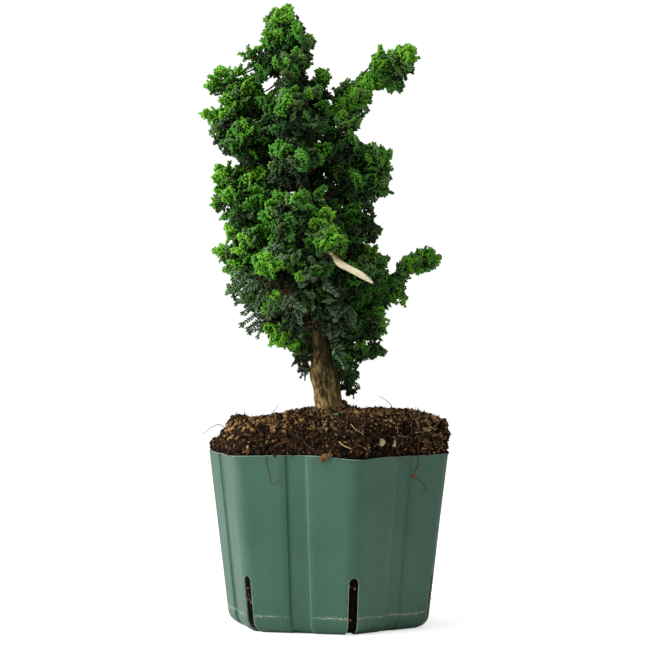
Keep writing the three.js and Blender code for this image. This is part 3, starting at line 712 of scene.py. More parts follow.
class Growers:
    """The geometry node trees. Each is built once, and used with its own inputs."""

    _built: dict[str, Tree] = {}

    @classmethod
    def _tree(cls, name: str, inputs: dict, draw: Callable) -> Tree:
        """A geometry tree that ends in Realize Instances and Set Material."""
        if name not in cls._built:
            shape = {"Geometry": "Geometry"}
            tree = new_tree(name, "GeometryNodeTree", shape | inputs, shape)
            sketch = Sketch(tree)
            given = sketch.add("NodeGroupInput").outputs
            grown = draw(sketch, {label: given[label] for label in ("Geometry", *inputs)})
            whole = sketch.add("GeometryNodeRealizeInstances", {"Geometry": grown}).outputs[0]
            inputs = {"Geometry": whole, "Material": given["Material"]}
            dressed = sketch.add("GeometryNodeSetMaterial", inputs).outputs[0]
            sketch.add("NodeGroupOutput", {"Geometry": dressed})
            cls._built[name] = tree
        return cls._built[name]

    @classmethod
    def grow(cls, thing: bpy.types.Object, tree: Tree, values: dict, name: str) -> bpy.types.Object:
        """Runs a tree on an object and keeps what it makes as a plain mesh.

        Args:
            thing: The object that the tree starts from, which goes.
            tree: The tree.
            values: Its inputs by name.
            name: The new piece's name.

        Returns:
            The new piece.
        """
        modifier = thing.modifiers.new("grow", "NODES")
        modifier.node_group = tree
        for key, value in values.items():
            modifier[tree.interface.items_tree[key].identifier] = value
        made = evaluated_copy(thing, name)
        for attribute in [a.name for a in made.data.attributes if not a.is_internal and not a.is_required]:
            if attribute.startswith("put_"):
                made.data.attributes.remove(made.data.attributes[attribute])
        return made

    @classmethod
    def strands(cls) -> Tree:
        """Round strands along open lines, as thick as each point's put_girth says."""

        def draw(s: Sketch, given: dict) -> Socket:
            """Draws the nodes and gives the shape that they make."""
            girth = s.add("GeometryNodeInputNamedAttribute", {"Name": "put_girth"}).outputs[0]
            ring = s.add("GeometryNodeCurvePrimitiveCircle", {"Resolution": given["Sides"], "Radius": MM})
            line = s.add("GeometryNodeMeshToCurve", {"Mesh": given["Geometry"]}).outputs[0]
            inputs = {"Curve": line, "Profile Curve": ring.outputs[0], "Scale": girth, "Fill Caps": True}
            tube = s.add("GeometryNodeCurveToMesh", inputs).outputs[0]
            inputs = {"Geometry": tube, "Shade Smooth": True}
            return s.add("GeometryNodeSetShadeSmooth", inputs).outputs[0]

        return cls._tree("strands", {"Sides": "Int", "Material": "Material"}, draw)

    @classmethod
    def dealt(cls) -> Tree:
        """One of a set of shapes at each point, by put_kind, put_turn and put_size."""

        def draw(s: Sketch, given: dict) -> Socket:
            """Draws the nodes and gives the shape that they make."""
            kind, turn, size = (
                s.add("GeometryNodeInputNamedAttribute", {"Name": name}, data_type=what).outputs[0]
                for name, what in (("put_kind", "INT"), ("put_turn", "QUATERNION"), ("put_size", "FLOAT"))
            )
            inputs = {"Collection": given["Shapes"], "Separate Children": True, "Reset Children": True}
            shapes = s.add("GeometryNodeCollectionInfo", inputs).outputs[0]
            inputs = {"Points": given["Geometry"], "Instance": shapes, "Pick Instance": True}
            inputs |= {"Instance Index": kind, "Rotation": turn, "Scale": size}
            return s.add("GeometryNodeInstanceOnPoints", inputs).outputs[0]

        return cls._tree("dealt_shapes", {"Shapes": "Collection", "Material": "Material"}, draw)

    @classmethod
    def strewn(cls) -> Tree:
        """Shapes strewn over a surface, thickest where its put_bed is one."""

        def draw(s: Sketch, given: dict) -> Socket:
            """Draws the nodes and gives the shape that they make."""
            bed = s.add("GeometryNodeInputNamedAttribute", {"Name": "put_bed"}).outputs[0]
            inputs = {"Mesh": given["Geometry"], "Distance Min": given["Spacing"]}
            inputs |= {"Density Max": given["Density"], "Density Factor": bed, "Seed": given["Seed"]}
            spots = s.add("GeometryNodeDistributePointsOnFaces", inputs, distribute_method="POISSON")
            inputs = {"Collection": given["Shapes"], "Separate Children": True, "Reset Children": True}
            shapes = s.add("GeometryNodeCollectionInfo", inputs).outputs[0]
            most = s.add("ShaderNodeCombineXYZ", {"X": given["Tumble"], "Y": given["Tumble"], "Z": 2 * np.pi})
            inputs = {"Min": (0, 0, 0), "Max": most.outputs[0], "Seed": given["Seed"]}
            spin = s.add("FunctionNodeRandomValue", inputs, data_type="FLOAT_VECTOR").outputs[0]
            inputs = {"Min_001": given["Smallest"], "Max_001": given["Largest"], "Seed": given["Seed"]}
            size = s.socket(s.add("FunctionNodeRandomValue", inputs, data_type="FLOAT").outputs, "Value_001")
            turn = s.add("FunctionNodeEulerToRotation", {"Euler": spin}).outputs[0]
            inputs = {"Rotation": spots.outputs["Rotation"], "Rotate By": turn}
            laid = s.add("FunctionNodeRotateRotation", inputs, rotation_space="LOCAL").outputs[0]
            inputs = {"Points": spots.outputs["Points"], "Instance": shapes, "Pick Instance": True}
            inputs |= {"Rotation": laid, "Scale": size}
            return s.add("GeometryNodeInstanceOnPoints", inputs).outputs[0]

        inputs = {"Shapes": "Collection", "Density": "Float", "Spacing": "Float", "Smallest": "Float"}
        inputs |= {"Largest": "Float", "Tumble": "Float", "Seed": "Int", "Material": "Material"}
        return cls._tree("strewn_shapes", inputs, draw)


def shape_set(name: str, meshes: list) -> bpy.types.Collection:
    """A set of shapes to deal out, in the order given. It isn't shown in the scene."""
    shapes = bpy.data.collections.new(name)
    for i, mesh in enumerate(meshes):
        shapes.objects.link(bpy.data.objects.new(f"{name}_{i:02d}", mesh))
    return shapes


def drop_set(shapes: bpy.types.Collection) -> None:
    """Removes a set of shapes that is no longer needed."""
    for thing in list(shapes.objects):
        mesh = thing.data
        bpy.data.objects.remove(thing)
        bpy.data.meshes.remove(mesh)
    bpy.data.collections.remove(shapes)


def strand_piece(name: str, lines: list, material: bpy.types.Material, sides: int) -> bpy.types.Object:
    """All the strands of one kind as one piece.

    Args:
        name: The piece's name.
        lines: Pairs of a path, n by 3, and a radius for each of its points.
        material: Its material.
        sides: How many sides a strand has.

    Returns:
        The piece.
    """
    points = np.vstack([path for path, _ in lines])
    mesh = bpy.data.meshes.new(name)
    edges, first = [], 0
    for path, _ in lines:
        edges += [(first + i, first + i + 1) for i in range(len(path) - 1)]
        first += len(path)
    mesh.from_pydata((points * MM).tolist(), edges, [])
    store(mesh, "put_girth", np.concatenate([radii for _, radii in lines]).astype(float))
    values = {"Sides": sides, "Material": material}
    return Growers.grow(link(name, mesh), Growers.strands(), values, name)


def settle(piece: bpy.types.Object, slot: str, *nodes: str) -> None:
    """Makes a piece ride on the one body, and hides what it stands for."""
    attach(piece, "root")
    if nodes:
        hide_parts(*nodes)
    log.info("%s: %d triangles", piece.name, sum(len(p.vertices) - 2 for p in piece.data.polygons))


# ---------------------------------------------------------------------------------------
# Pot
# ---------------------------------------------------------------------------------------


@dataclass
class PotShape:
    """The pot's outline and rim, which the soil follows too."""

    sides: int = 6
    turn: float = 13.5  # from the front to the nearest corner, towards +X
    height: float = 130
    rim_radius: float = 95
    base_radius: float = 79
    corner_radius: float = 15
    band_width: float = 15
    band_depth: float = 1.8
    band_slope: float = 1.4
    rim_wave: float = 0.8
    rim_dip: float = 2.2
    rim_dip_width: float = 12
    corner_steps: int = 12
    flat_steps: int = 5
    slope_steps: int = 5

    @property
    def columns(self) -> int:
        """How many points an outline has."""
        return len(self.outline(0, 0))

    def _flat_shifts(self, half_flat: float) -> list[tuple[float, float]]:
        """Places across one side, with how deep the band is at each, as a share."""
        outer, inner = (self.band_width + self.band_slope) / 2, (self.band_width - self.band_slope) / 2
        flat = [(s, 0.0) for s in np.linspace(-half_flat, -outer, self.flat_steps + 1)[1:-1]]
        slope = [
            (lerp(-outer, -inner, t), float(smooth_step(0, 1, t)))
            for t in np.linspace(0, 1, self.slope_steps)
        ]
        floor = [(s, 1.0) for s in np.linspace(-inner, 0, self.flat_steps - 1)[1:-1]]
        half = flat + slope + floor
        return half + [(0.0, 1.0)] + [(-s, d) for s, d in reversed(half)]

    def outline(self, height: float, inset: float, band_depth: float | None = None) -> np.ndarray:
        """The outline at a height, moved in by an inset: rounded corners and sunk bands."""
        depth = self.band_depth if band_depth is None else band_depth
        half_side = 180 / self.sides
        radius = lerp(self.base_radius, self.rim_radius, height / self.height)
        apothem = radius * np.cos(np.radians(half_side)) - inset
        rounding = max(self.corner_radius - inset, 2)
        corner_distance = (apothem - rounding) / np.cos(np.radians(half_side))
        half_flat = corner_distance * np.sin(np.radians(half_side))
        points = []
        for side in range(self.sides):
            corner = self.turn + 2 * half_side * side
            around = corner + np.linspace(-half_side, half_side, self.corner_steps + 1)
            points.append(heading(corner) * corner_distance + heading(around) * rounding)
            normal, along = heading(corner + half_side), heading(corner + half_side + 90)
            for shift, share in self._flat_shifts(half_flat):
                points.append([normal * (apothem - depth * share) + along * shift])
        return np.vstack(points)

    def wave(self, outline: np.ndarray) -> np.ndarray:
        """How far the rim strays from level at each point."""
        degrees = np.degrees(np.arctan2(outline[:, 0], -outline[:, 1]))
        dip = self.rim_dip * np.exp(-(((degrees - self.turn) / self.rim_dip_width) ** 2))
        return self.rim_wave * np.sin(np.radians(3 * degrees + 120)) - dip


@dataclass
class Pot:
    """The hexagonal pot: thin walls, a sunk band in each side and a slot up each corner."""

    shape: PotShape
    wall: float = 1.4
    floor: float = 2.2
    edge_radius: float = 9
    edge_steps: int = 7
    wall_rows: int = 30
    lip_steps: int = 5
    wave_from: float = 95  # the rim's waves die out below this height
    slot_width: float = 7
    slot_height: float = 42
    slot_foot: float = 22
    dent: float = 0.35
    finish: PlasticFinish = field(default_factory=lambda: PlasticFinish("pot_plastic", 0.42, 0.45))

    def _ring(self, height: float, inset: float, drop: float = 0.0) -> np.ndarray:
        """The outline at a height, with the rim's waves and slight dents in the wall."""
        flat = self.shape.outline(height, inset)
        share = smooth_step(self.wave_from, self.shape.height, height)
        level = height - drop + self.shape.wave(flat) * share
        spots = np.column_stack([flat / 34, np.full(len(flat), height / 40)])
        swing = 1 + lattice_noise(spots, 5) * self.dent * smooth_step(4, 20, height) / 85
        return np.column_stack([flat * swing[:, None], level])

    def _lower_edge(self, bottom: float, inset: float, rounding: float) -> list:
        """Rings round the lower edge, from the underside up to the wall."""
        rings = []
        for angle in np.linspace(0, np.pi / 2, self.edge_steps + 1):
            height = bottom + rounding * (1 - np.cos(angle))
            rings.append(self._ring(height, inset + rounding * (1 - np.sin(angle))))
        return rings

    def _slot_distance(self, points: np.ndarray) -> np.ndarray:
        """How far each point is from the edge of the nearest corner slot, seen from outside."""
        step = 360 / self.shape.sides
        degrees = np.degrees(np.arctan2(points[:, 0], -points[:, 1])) - self.shape.turn
        offset = np.radians((degrees + step / 2) % step - step / 2)
        across = np.hypot(points[:, 0], points[:, 1]) * np.sin(offset)
        half = self.slot_width / 2
        above = np.maximum(points[:, 2] - (self.slot_height - half), 0)
        return np.hypot(across, above) - half

    def _cutter(self, side: int) -> bpy.types.Object:
        """The prism that cuts one slot."""
        half, below, arc = self.slot_width / 2, -5.0, np.linspace(0, np.pi, 13)
        crown = self.slot_height - half
        profile = [(-half, below), (half, below)]
        profile += [(half * np.cos(a), crown + half * np.sin(a)) for a in arc]
        away, across = heading(self.shape.turn + 60 * side), heading(self.shape.turn + 60 * side + 90)
        rings = []
        for distance in (self.shape.base_radius - self.slot_foot, self.shape.rim_radius):
            flat = [away * distance + across * x for x, _ in profile]
            rings.append(np.column_stack([flat, [z for _, z in profile]]))
        points, faces = loft(np.array(rings))
        return link(f"slot_cutter_{side}", make_mesh("slot_cutter", points, faces, smooth=False))

    def _stores(self, mesh: bpy.types.Mesh) -> None:
        """Keeps on the mesh how far its edges are, and where soil has marked it."""
        points = np.empty(len(mesh.vertices) * 3)
        mesh.vertices.foreach_get("co", points)
        points = points.reshape(-1, 3) / MM
        x, y, z = points.T
        rim = self.shape.height + self.shape.wave(points[:, :2]) - z
        slot = self._slot_distance(points)
        low = smooth_step(self.slot_height + 3, self.slot_height + 1, z)
        store(mesh, "rim_gap", np.clip(rim, -5, 12))
        store(mesh, "slot_gap", np.where(low > 0.5, np.abs(slot), 12))
        side = np.floor((np.degrees(np.arctan2(x, -y)) - self.shape.turn) / 60)
        middle = np.radians(side * 60 + 30 + self.shape.turn)
        shift = (x * np.cos(middle) + y * np.sin(middle)) * np.where(side % 2, 1, -1)
        ridge = (self.shape.band_width + self.shape.band_slope) / 2
        # How far from the edge of each band that takes a painted highlight.
        store(mesh, "ridge_gap", np.abs(shift - ridge))
        near_slot = smooth_step(5, 0.5, slot) * low
        store(mesh, "soiled", np.maximum(near_slot * 0.5, smooth_step(7, 1, rim) * 0.4))

    def build(self) -> bpy.types.Object:
        """Makes the pot and dresses it."""
        lip = self.wall / 2
        rings = self._lower_edge(0, 0, self.edge_radius)
        rows = np.linspace(self.edge_radius, self.shape.height, self.wall_rows + 1)[1:-1]
        rows = np.append(rows, self.shape.height - np.array([2.2, 1.1]))
        rings += [self._ring(z, 0) for z in rows]
        for angle in np.linspace(0, np.pi, self.lip_steps + 2):
            inset, drop = lip - lip * np.cos(angle), lip - lip * np.sin(angle)
            rings.append(self._ring(self.shape.height, inset, drop))
        rings += [self._ring(z, self.wall) for z in rows[::-1]]
        inner = self.edge_radius - self.wall
        rings += self._lower_edge(self.floor, self.wall, inner)[::-1]
        points, faces = loft(np.array(rings))
        pot = link("pot_shell", make_mesh("pot_shell", points, faces))
        for side in range(self.shape.sides):
            cut = pot.modifiers.new("slot", "BOOLEAN")
            cut.operation, cut.solver = "DIFFERENCE", "EXACT"
            cut.object = self._cutter(side)
        cutters = [modifier.object for modifier in pot.modifiers]
        pot = evaluated_copy(pot, "pot_wall")
        for cutter in cutters:
            bpy.data.objects.remove(cutter)
        self._stores(pot.data)
        pot.data.set_sharp_from_angle(angle=np.radians(40))
        pot.data.materials.clear()
        pot.data.materials.append(self.finish.material())
        settle(pot, "pot_plastic", "pot")
        return pot


# ---------------------------------------------------------------------------------------
# Root ball
# ---------------------------------------------------------------------------------------


@dataclass(frozen=True)
class Crumb:
    """One kind of thing that lies in the soil."""

    name: str
    stretch: tuple[float, float, float]  # half sizes
    density: float  # how many on each square centimetre
    smallest: float
    largest: float
    finish: SoilFinish
    tumble: float = 6.28
    spacing: float = 1.0
    rough: float = 0.3
    heart: tuple[float, float] | None = None  # where it gathers, if it does
    spread: float = 30  # how far from there it is found
    above: float = 0  # the height that it is found above
    lift: float = 0  # how far it lies above the soil's skin
    in_slots: float = 0  # how much of it shows in the pot's slots


@dataclass
class RootBall:
    """The peat that fills the pot and stands above its rim, with what lies in and on it."""

    shape: PotShape
    top: float = 160.7
    seat: tuple[float, float] = (0.7, 0)
    seat_radius: float = 17
    lump: float = 1.4
    lean: float = 3.4
    sag: float = 6.0  # how much lower it is to the left of the trunk
    dish: float = 4.8  # how much lower it is just round the trunk
    mound: float = 4.4  # how much higher it is beyond the ochre grains
    slump: float = 4.0  # how far its shoulder leans towards +X
    inset: float = 1.7
    bottom: float = 2.5
    edge_radius: float = 9
    shoulder: tuple = ((0.0, 0.08), (0.02, 0.28), (0.06, 0.5), (0.13, 0.72), (0.3, 0.84), (0.6, 0.92), (1, 1))
    side_rows: int = 26
    top_rows: int = 64
    clods: tuple = ((9.5, 3.0), (4.4, 2.6), (1.9, 1.2))  # cell size and height of the roughness
    root_reach: float = 82  # how far from the middle fine roots are found
    roots: int = 170
    root_lift: float = 2.2  # how far the drawn roots stand off the soil's front
    gravel: tuple[float, float] = (-60, -34)  # where the ochre grains gather
    slot_width: float = 7
    slot_height: float = 42
    variants: int = 7
    seed: int = 7

    @property
    def brim(self) -> float:
        """The height at which the soil leaves the pot."""
        return self.shape.height + self.shape.rim_wave + 0.3

    def height_at(self, x: np.ndarray, y: np.ndarray) -> np.ndarray:
        """The level of the soil's top, without its fine roughness."""
        flat = np.column_stack([x, y])
        flat = flat - [self.slump * 0.7, 0] * (np.hypot(*flat.T) > 60)[:, None]
        outer = self.shape.outline(self.shape.height, self.inset, 0)
        bearing = np.arctan2(outer[:, 0], -outer[:, 1])
        order = np.argsort(bearing)
        spread = np.hypot(*outer.T)
        edge = np.interp(np.arctan2(flat[:, 0], -flat[:, 1]), bearing[order], spread[order], period=2 * np.pi)
        inward = (edge - np.hypot(*flat.T)) / (edge - self.seat_radius)
        return self._level(flat, np.clip(inward, 0, 1))

    def _level(self, flat: np.ndarray, inward: np.ndarray) -> np.ndarray:
        """The height at places that are a share of the way in from the edge."""
        ins, rises = np.array(self.shoulder).T
        rise = np.interp(inward, ins, rises)
        x, y = flat.T
        waves = np.sin(x * 0.31 + y * 0.17) + np.sin(y * 0.39 - x * 0.12 + 2)
        lumps = self.lump * waves / 2 + self.lean * x / self.shape.rim_radius
        away = np.hypot(x, y)
        sag = self.sag * smooth_step(6, -10, x) * (1 - 0.4 * smooth_step(-25, -60, x))
        lumps = lumps - np.maximum(sag, self.dish * smooth_step(42, 24, away)) * smooth_step(12, 17, away)
        mound = self.mound * np.exp(-(((x - self.gravel[0] + 12) / 9) ** 2)) * smooth_step(0.25, 0.6, rise)
        return lerp(self.brim, self.top, rise) + lumps * np.minimum(rise, 6 * (1 - rise)) + mound

    def _roughen(self, points: np.ndarray, amount: np.ndarray) -> np.ndarray:
        """Pushes points in and out by the clods of the peat."""
        centre = np.array([0, 0, 90.0])
        away = unit(points - centre)
        push = sum(h * np.abs(rough_noise(points / size, 3 + i, 2)) for i, (size, h) in enumerate(self.clods))
        return points + away * ((push - 2.0) * amount)[:, None]

    def _surface(self) -> tuple[np.ndarray, list, np.ndarray, np.ndarray]:
        """The skin's points and faces, and how much of each point the rim and a slot leave open."""
        rings = []
        rounding = self.edge_radius - self.inset
        for angle in np.linspace(0, np.pi / 2, 6):
            height = self.bottom + rounding * (1 - np.cos(angle))
            flat = self.shape.outline(height, self.inset + rounding * (1 - np.sin(angle)))
            rings.append(np.column_stack([flat, np.full(len(flat), height)]))
        for height in np.linspace(self.bottom + rounding, self.brim, self.side_rows)[1:]:
            flat = self.shape.outline(min(height, self.shape.height), self.inset)
            rings.append(np.column_stack([flat, np.full(len(flat), height)]))
        outer = self.shape.outline(self.shape.height, self.inset, 0)
        seat = unit(outer) * self.seat_radius + np.array(self.seat)
        for inward in np.linspace(0, 1, self.top_rows) ** 1.6:
            flat = lerp(outer, seat, inward)
            level = self._level(flat, inward)
            shift = self.slump * smooth_step(0, 0.05, inward) * smooth_step(1, 0.3, inward)
            rings.append(np.column_stack([flat[:, 0] + shift, flat[:, 1], level]))
        for share in (0.7, 0.4, 0.15):
            flat = (seat - self.seat) * share + self.seat
            rings.append(np.column_stack([flat, np.full(len(flat), self.top)]))
        points, faces = loft(np.array(rings))
        exposed = smooth_step(self.brim - 1, self.brim + 2, points[:, 2])
        pot = Pot(self.shape)
        in_slot = smooth_step(1.5, -0.5, pot._slot_distance(points)) * (points[:, 2] > 6)
        hidden = np.maximum.reduce([exposed, in_slot * 0.5, np.full(len(points), 0.1)])
        return self._roughen(points, hidden), faces, exposed, in_slot

    @staticmethod
    def _face_key(face: bmesh.types.BMFace) -> int:
        """A number that tells a face from its fellows by its corners, of which none is over 99."""
        return sum(corner.index * 100**i for i, corner in enumerate(face.verts))

    def _shapes(self, kind: Crumb) -> list:
        """Rough little bodies of one kind."""
        meshes = []
        draw = np.random.default_rng(self.seed)
        for i in range(self.variants):
            rock = bmesh.new()
            if kind.largest < 2.5:
                bmesh.ops.create_icosphere(rock, subdivisions=1, radius=1)
            else:
                bmesh.ops.create_uvsphere(rock, u_segments=6, v_segments=5, radius=1)
                # Its faces are the same on every run, but not their order.
                rock.verts.index_update()
                rock.faces.sort(key=self._face_key)
            for corner in rock.verts:
                corner.co *= 1 + kind.rough * draw.uniform(-1, 1)
                bend = 0.5 * corner.co.x**2 if kind.stretch[0] > 2 else 0
                corner.co = [a * b * MM for a, b in zip(corner.co, kind.stretch)]
                corner.co.z += bend * MM
            mesh = bpy.data.meshes.new(kind.name)
            rock.to_mesh(mesh)
            rock.free()
            meshes.append(mesh)
        return meshes

    def _strew(self, kind: Crumb, points: np.ndarray, faces: list, bed: np.ndarray) -> bpy.types.Object:
        """Strews one kind over the soil."""
        mesh = make_mesh(kind.name, points + [0, 0, kind.lift], faces)
        if kind.name in ("peat_crumbs", "black_crumbs"):
            away = np.hypot(points[:, 0] - self.gravel[0], points[:, 1] - self.gravel[1])
            bed = bed * (1 - 0.25 * smooth_step(46, 24, away))
        if kind.heart is not None:
            away = np.hypot(points[:, 0] - kind.heart[0], points[:, 1] - kind.heart[1])
            bed = bed * smooth_step(kind.spread, kind.spread * 0.5, away)
        if kind.above:
            bed = bed * smooth_step(kind.above - 3, kind.above + 3, points[:, 2])
        store(mesh, "put_bed", bed)
        shapes = shape_set(kind.name, self._shapes(kind))
        values = {"Shapes": shapes, "Density": kind.density * 1e4, "Spacing": kind.spacing * MM}
        values |= {"Smallest": kind.smallest, "Largest": kind.largest, "Tumble": kind.tumble}
        values |= {"Seed": self.seed + len(kind.name), "Material": kind.finish.material()}
        piece = Growers.grow(link(kind.name, mesh), Growers.strewn(), values, kind.name)
        drop_set(shapes)
        settle(piece, "potting_soil")
        return piece

    def kinds(self) -> list[Crumb]:
        """What lies in the soil, from the commonest to the rarest."""
        peat = SoilFinish("peat_crumbs", 1.0, 0.12)
        black = earth("black_crumbs", 1.0, 0.1, (20, 15, 11), (14, 11, 8), (40, 28, 19))
        brown = earth("brown_crumbs", 0.95, 0.2, (134, 94, 54), (80, 54, 32), (188, 144, 90))
        ochre = earth("ochre_grains", 0.85, 0.3, (168, 124, 70), (112, 78, 44), (210, 172, 114))
        pale = earth("pale_grains", 0.75, 0.35, (210, 190, 150), (184, 156, 108), (236, 224, 192))
        bark = earth("bark_chips", 0.9, 0.25, (84, 50, 30), (54, 33, 21), (126, 84, 52))
        straw = earth("straw_bits", 0.9, 0.25, (170, 132, 80), (112, 80, 46), (206, 174, 118))
        moss = earth("moss_bits", 0.95, 0.2, (70, 82, 34), (50, 60, 26), (108, 118, 56))
        litter = earth("litter", 0.9, 0.25, (156, 118, 70), (92, 66, 38), (212, 182, 126))
        chunk, grain, sliver = (1, 0.82, 0.7), (1, 0.85, 0.78), (4.2, 0.45, 0.35)
        return [
            Crumb("peat_crumbs", chunk, 8, 0.9, 2.8, peat, spacing=1.0, rough=0.45),
            Crumb("black_crumbs", chunk, 6, 0.8, 2.6, black, spacing=1.2, rough=0.45),
            Crumb("brown_crumbs", chunk, 8, 0.6, 1.8, brown, spacing=0.8, rough=0.38, in_slots=0.12),
            Crumb("ochre_fines", grain, 3.2, 0.5, 1.2, ochre, spacing=1.5, rough=0.25),
            Crumb("ochre_grains", grain, 3.4, 1.1, 2.7, ochre, 6.28, 3.2, 0.25, self.gravel, 50, 139, 0.5),
            Crumb("ochre_lumps", grain, 0.5, 1.2, 2.4, ochre, spacing=6, rough=0.25),
            Crumb("pale_grains", grain, 0.16, 0.7, 1.7, pale, spacing=8, rough=0.2),
            Crumb("bark_chips", (3.2, 0.9, 0.4), 1.8, 0.6, 1.6, bark, tumble=1.2, spacing=2),
            Crumb("straw_bits", sliver, 3.0, 0.5, 1.1, straw, 2.4, 1.5, 0.15, in_slots=0.5),
            Crumb("top_chips", (1.7, 1, 0.6), 8, 0.7, 1.7, litter, 2.4, 1.4, 0.4, above=148),
            Crumb("top_straw", (6, 0.4, 0.35), 4, 0.4, 1.0, litter, 2.4, 1.6, 0.15, above=150),
            Crumb("straw_mat", sliver, 9, 0.6, 1.3, straw, 1.2, 1.0, 0.15, (76, -38), 22),
            Crumb("moss_bits", grain, 9, 0.5, 1.3, moss, 6.28, 1.0, 0.4, (2, -14), 20),
        ]

    def _face(self, x: float, z: float) -> np.ndarray:
        """The point at the front of the soil, or of the pot below it, that has this x and z."""
        if z < self.brim + 0.8:
            flat = self.shape.outline(z, -0.6)
            front = flat[flat[:, 1] < 0]
            order = np.argsort(front[:, 0])
            return np.array([x, np.interp(x, front[order, 0], front[order, 1]), z])
        across = np.linspace(-92, 0, 185)
        levels = self.height_at(np.full(185, x), across)
        above = np.flatnonzero(levels >= z)
        return np.array([x, across[above[0]] - 0.8 if len(above) else 0, z])

    def _root_lines(self) -> list:
        """Fine roots that lie over the soil, each stopping where the soil does."""
        draw = np.random.default_rng(self.seed)
        lines = []
        for _ in range(self.roots):
            bearing, out = draw.uniform(0, 2 * np.pi), np.sqrt(draw.uniform(0.06, 1)) * self.root_reach
            spot = np.array([np.cos(bearing), np.sin(bearing)]) * out
            way = draw.uniform(0, 2 * np.pi)
            steps, curl, lift = int(draw.integers(9, 24)), draw.normal(0, 0.3), draw.uniform(0.1, 1.6)
            path = []
            for i in range(steps):
                way += curl * 0.4 + draw.normal(0, 0.5)
                spot = spot + np.array([np.cos(way), np.sin(way)]) * 1.3
                if np.hypot(*spot) > self.root_reach:
                    break
                path.append([*spot, np.sin(np.pi * i / (steps - 1)) * lift])
            if len(path) > 4:
                path = np.array(path)
                path[:, 2] += self.height_at(path[:, 0], path[:, 1]) - 0.2
                lines.append((path, np.linspace(draw.uniform(0.16, 0.34), 0.1, len(path))))
        return lines

    def _drawn_lines(self, paths: tuple, thick: float, thin: float) -> list:
        """Strands that lie on the front of the soil and pot, from paths of x and z."""
        lines = []
        for path in paths:
            points = spline([self._face(x, z) for x, z in path], 30)
            points[:, 1] -= self.root_lift * smooth_step(self.brim, self.brim + 5, points[:, 2])
            lines.append((points, np.linspace(thick, thin, 30)))
        return lines

    def _roots(self) -> None:
        """The fine roots: brown ones everywhere, and red and pale ones at the front."""
        brown = earth("brown_root", 0.85, 0.25, (92, 62, 38), (60, 40, 26), (136, 100, 62))
        red = earth("red_root", 0.8, 0.3, (122, 67, 40), (92, 48, 30), (154, 94, 57))
        pale = earth("pale_root", 0.8, 0.3, (192, 160, 108), (150, 116, 74), (220, 194, 144))
        loose = (
            [(-76, -22, 148), (-80, -26, 151), (-86, -26, 149), (-92, -27, 144)],
            [(48, -44, 161), (46.5, -44, 166), (42, -43, 170), (37.5, -41, 172.5)],
            [(-42, -30, 158), (-39, -33, 162), (-36, -34, 166)],
        )
        lines = self._root_lines()
        lines += [(spline(points, 20), np.linspace(0.32, 0.14, 20)) for points in loose]
        settle(strand_piece("fine_roots", lines, brown.material(), 4), "potting_soil")
        over_left = [(-28, 141), (-35, 139), (-42, 134), (-44.3, 131.5), (-44.3, 125), (-43, 120)]
        over_left += [(-41.8, 114), (-40.7, 109.6), (-34.7, 113), (-33.5, 117.7)]
        reds = (
            over_left,
            [(67, 143), (66, 134), (66.5, 131.5), (66.5, 124), (63.5, 116.6), (62.3, 114)],
            [(62.3, 114), (68.3, 110.6), (72.5, 104.5), (69.5, 101)],
            [(56, 143), (51, 135.5), (51.6, 131.5), (58.4, 123)],
            [(56.6, 140.4), (61.5, 135.5), (62, 132.4)],
            [(-7.5, 149), (-11.2, 142), (-10.6, 137)],
            [(-17, 140), (-13, 137), (-9, 134)],
            [(26, 152), (31, 148), (36, 146)],
        )
        lines = self._drawn_lines(reds, 0.28, 0.13)
        settle(strand_piece("red_roots", lines, red.material(), 5), "potting_soil")
        pales = (
            [(45.6, 161), (49.4, 158), (50, 153), (51, 147)],
            [(13, 158), (17, 153), (21, 149), (26, 146)],
            [(8, 141), (12, 138), (17, 136)],
            [(66, 148), (76, 150), (87, 151)],
            [(68, 147), (78, 149.5), (88, 149.5)],
            [(64, 146), (80, 148), (89, 150)],
            [(49, 143), (53, 144), (57, 143)],
        )
        climbing = spline([(-3.2, -10.4, 181), (-1.6, -11, 177.5), (0.4, -11.2, 175), (2.2, -11, 172)], 14)
        lines = [*self._drawn_lines(pales, 0.5, 0.25), (climbing, np.linspace(0.5, 0.2, 14))]
        settle(strand_piece("pale_roots", lines, pale.material(), 5), "potting_soil")

    def _stones(self) -> None:
        """The few larger lumps that stand out: pale ones, a clod on the rim and knots on roots."""
        pale = earth("pale_stone", 0.8, 0.3, (196, 176, 128), (158, 132, 86), (224, 210, 170))
        clod = earth("rim_clod", 0.95, 0.2, (108, 78, 46), (76, 52, 32), (150, 116, 72))
        knot = earth("root_knot", 0.9, 0.2, (150, 84, 40), (116, 60, 30), (184, 120, 70))
        leaf = earth("shed_leaf", 0.6, 0.4, (74, 132, 30), (58, 112, 26), (112, 160, 50))
        sere = earth("sere_leaf", 0.7, 0.3, (142, 146, 50), (118, 120, 40), (170, 160, 70))
        pale_spots = ((39, 140, 2.7, 2.7), (47.8, 140, 1.8, 3.7), (-2, 151.7, 1.3, 1.6), (-58, 136, 1, 1.4))
        stones = (
            ("pale_stones", pale, pale_spots),
            ("rim_clods", clod, ((-1.3, 130.5, 3.2, 2.1), (-4.4, 128, 1.8, 2.2), (1.6, 131.5, 2, 1.4))),
            ("root_nubs", clod, ((12.4, 164.6, 3.0, 4.2), (9.8, 161.5, 2.4, 2.6))),
            ("root_knots", knot, ((62.3, 114, 1.7, 1.2), (66.3, 119.5, 0.7, 0.7))),
            ("shed_leaves", leaf, ((0, 158, 1.9, 1.3), (7, 158.6, 1.7, 1.6), (-1.5, 157, 1.4, 0.9))),
            ("sere_leaves", sere, ((-18, 154, 1.4, 2.4), (-20, 153, 1.6, 1.0))),
        )
        for name, finish, spots in stones:
            points, faces, draw = [], [], np.random.default_rng(self.seed)
            for x, z, half, tall in spots:
                rock = bmesh.new()
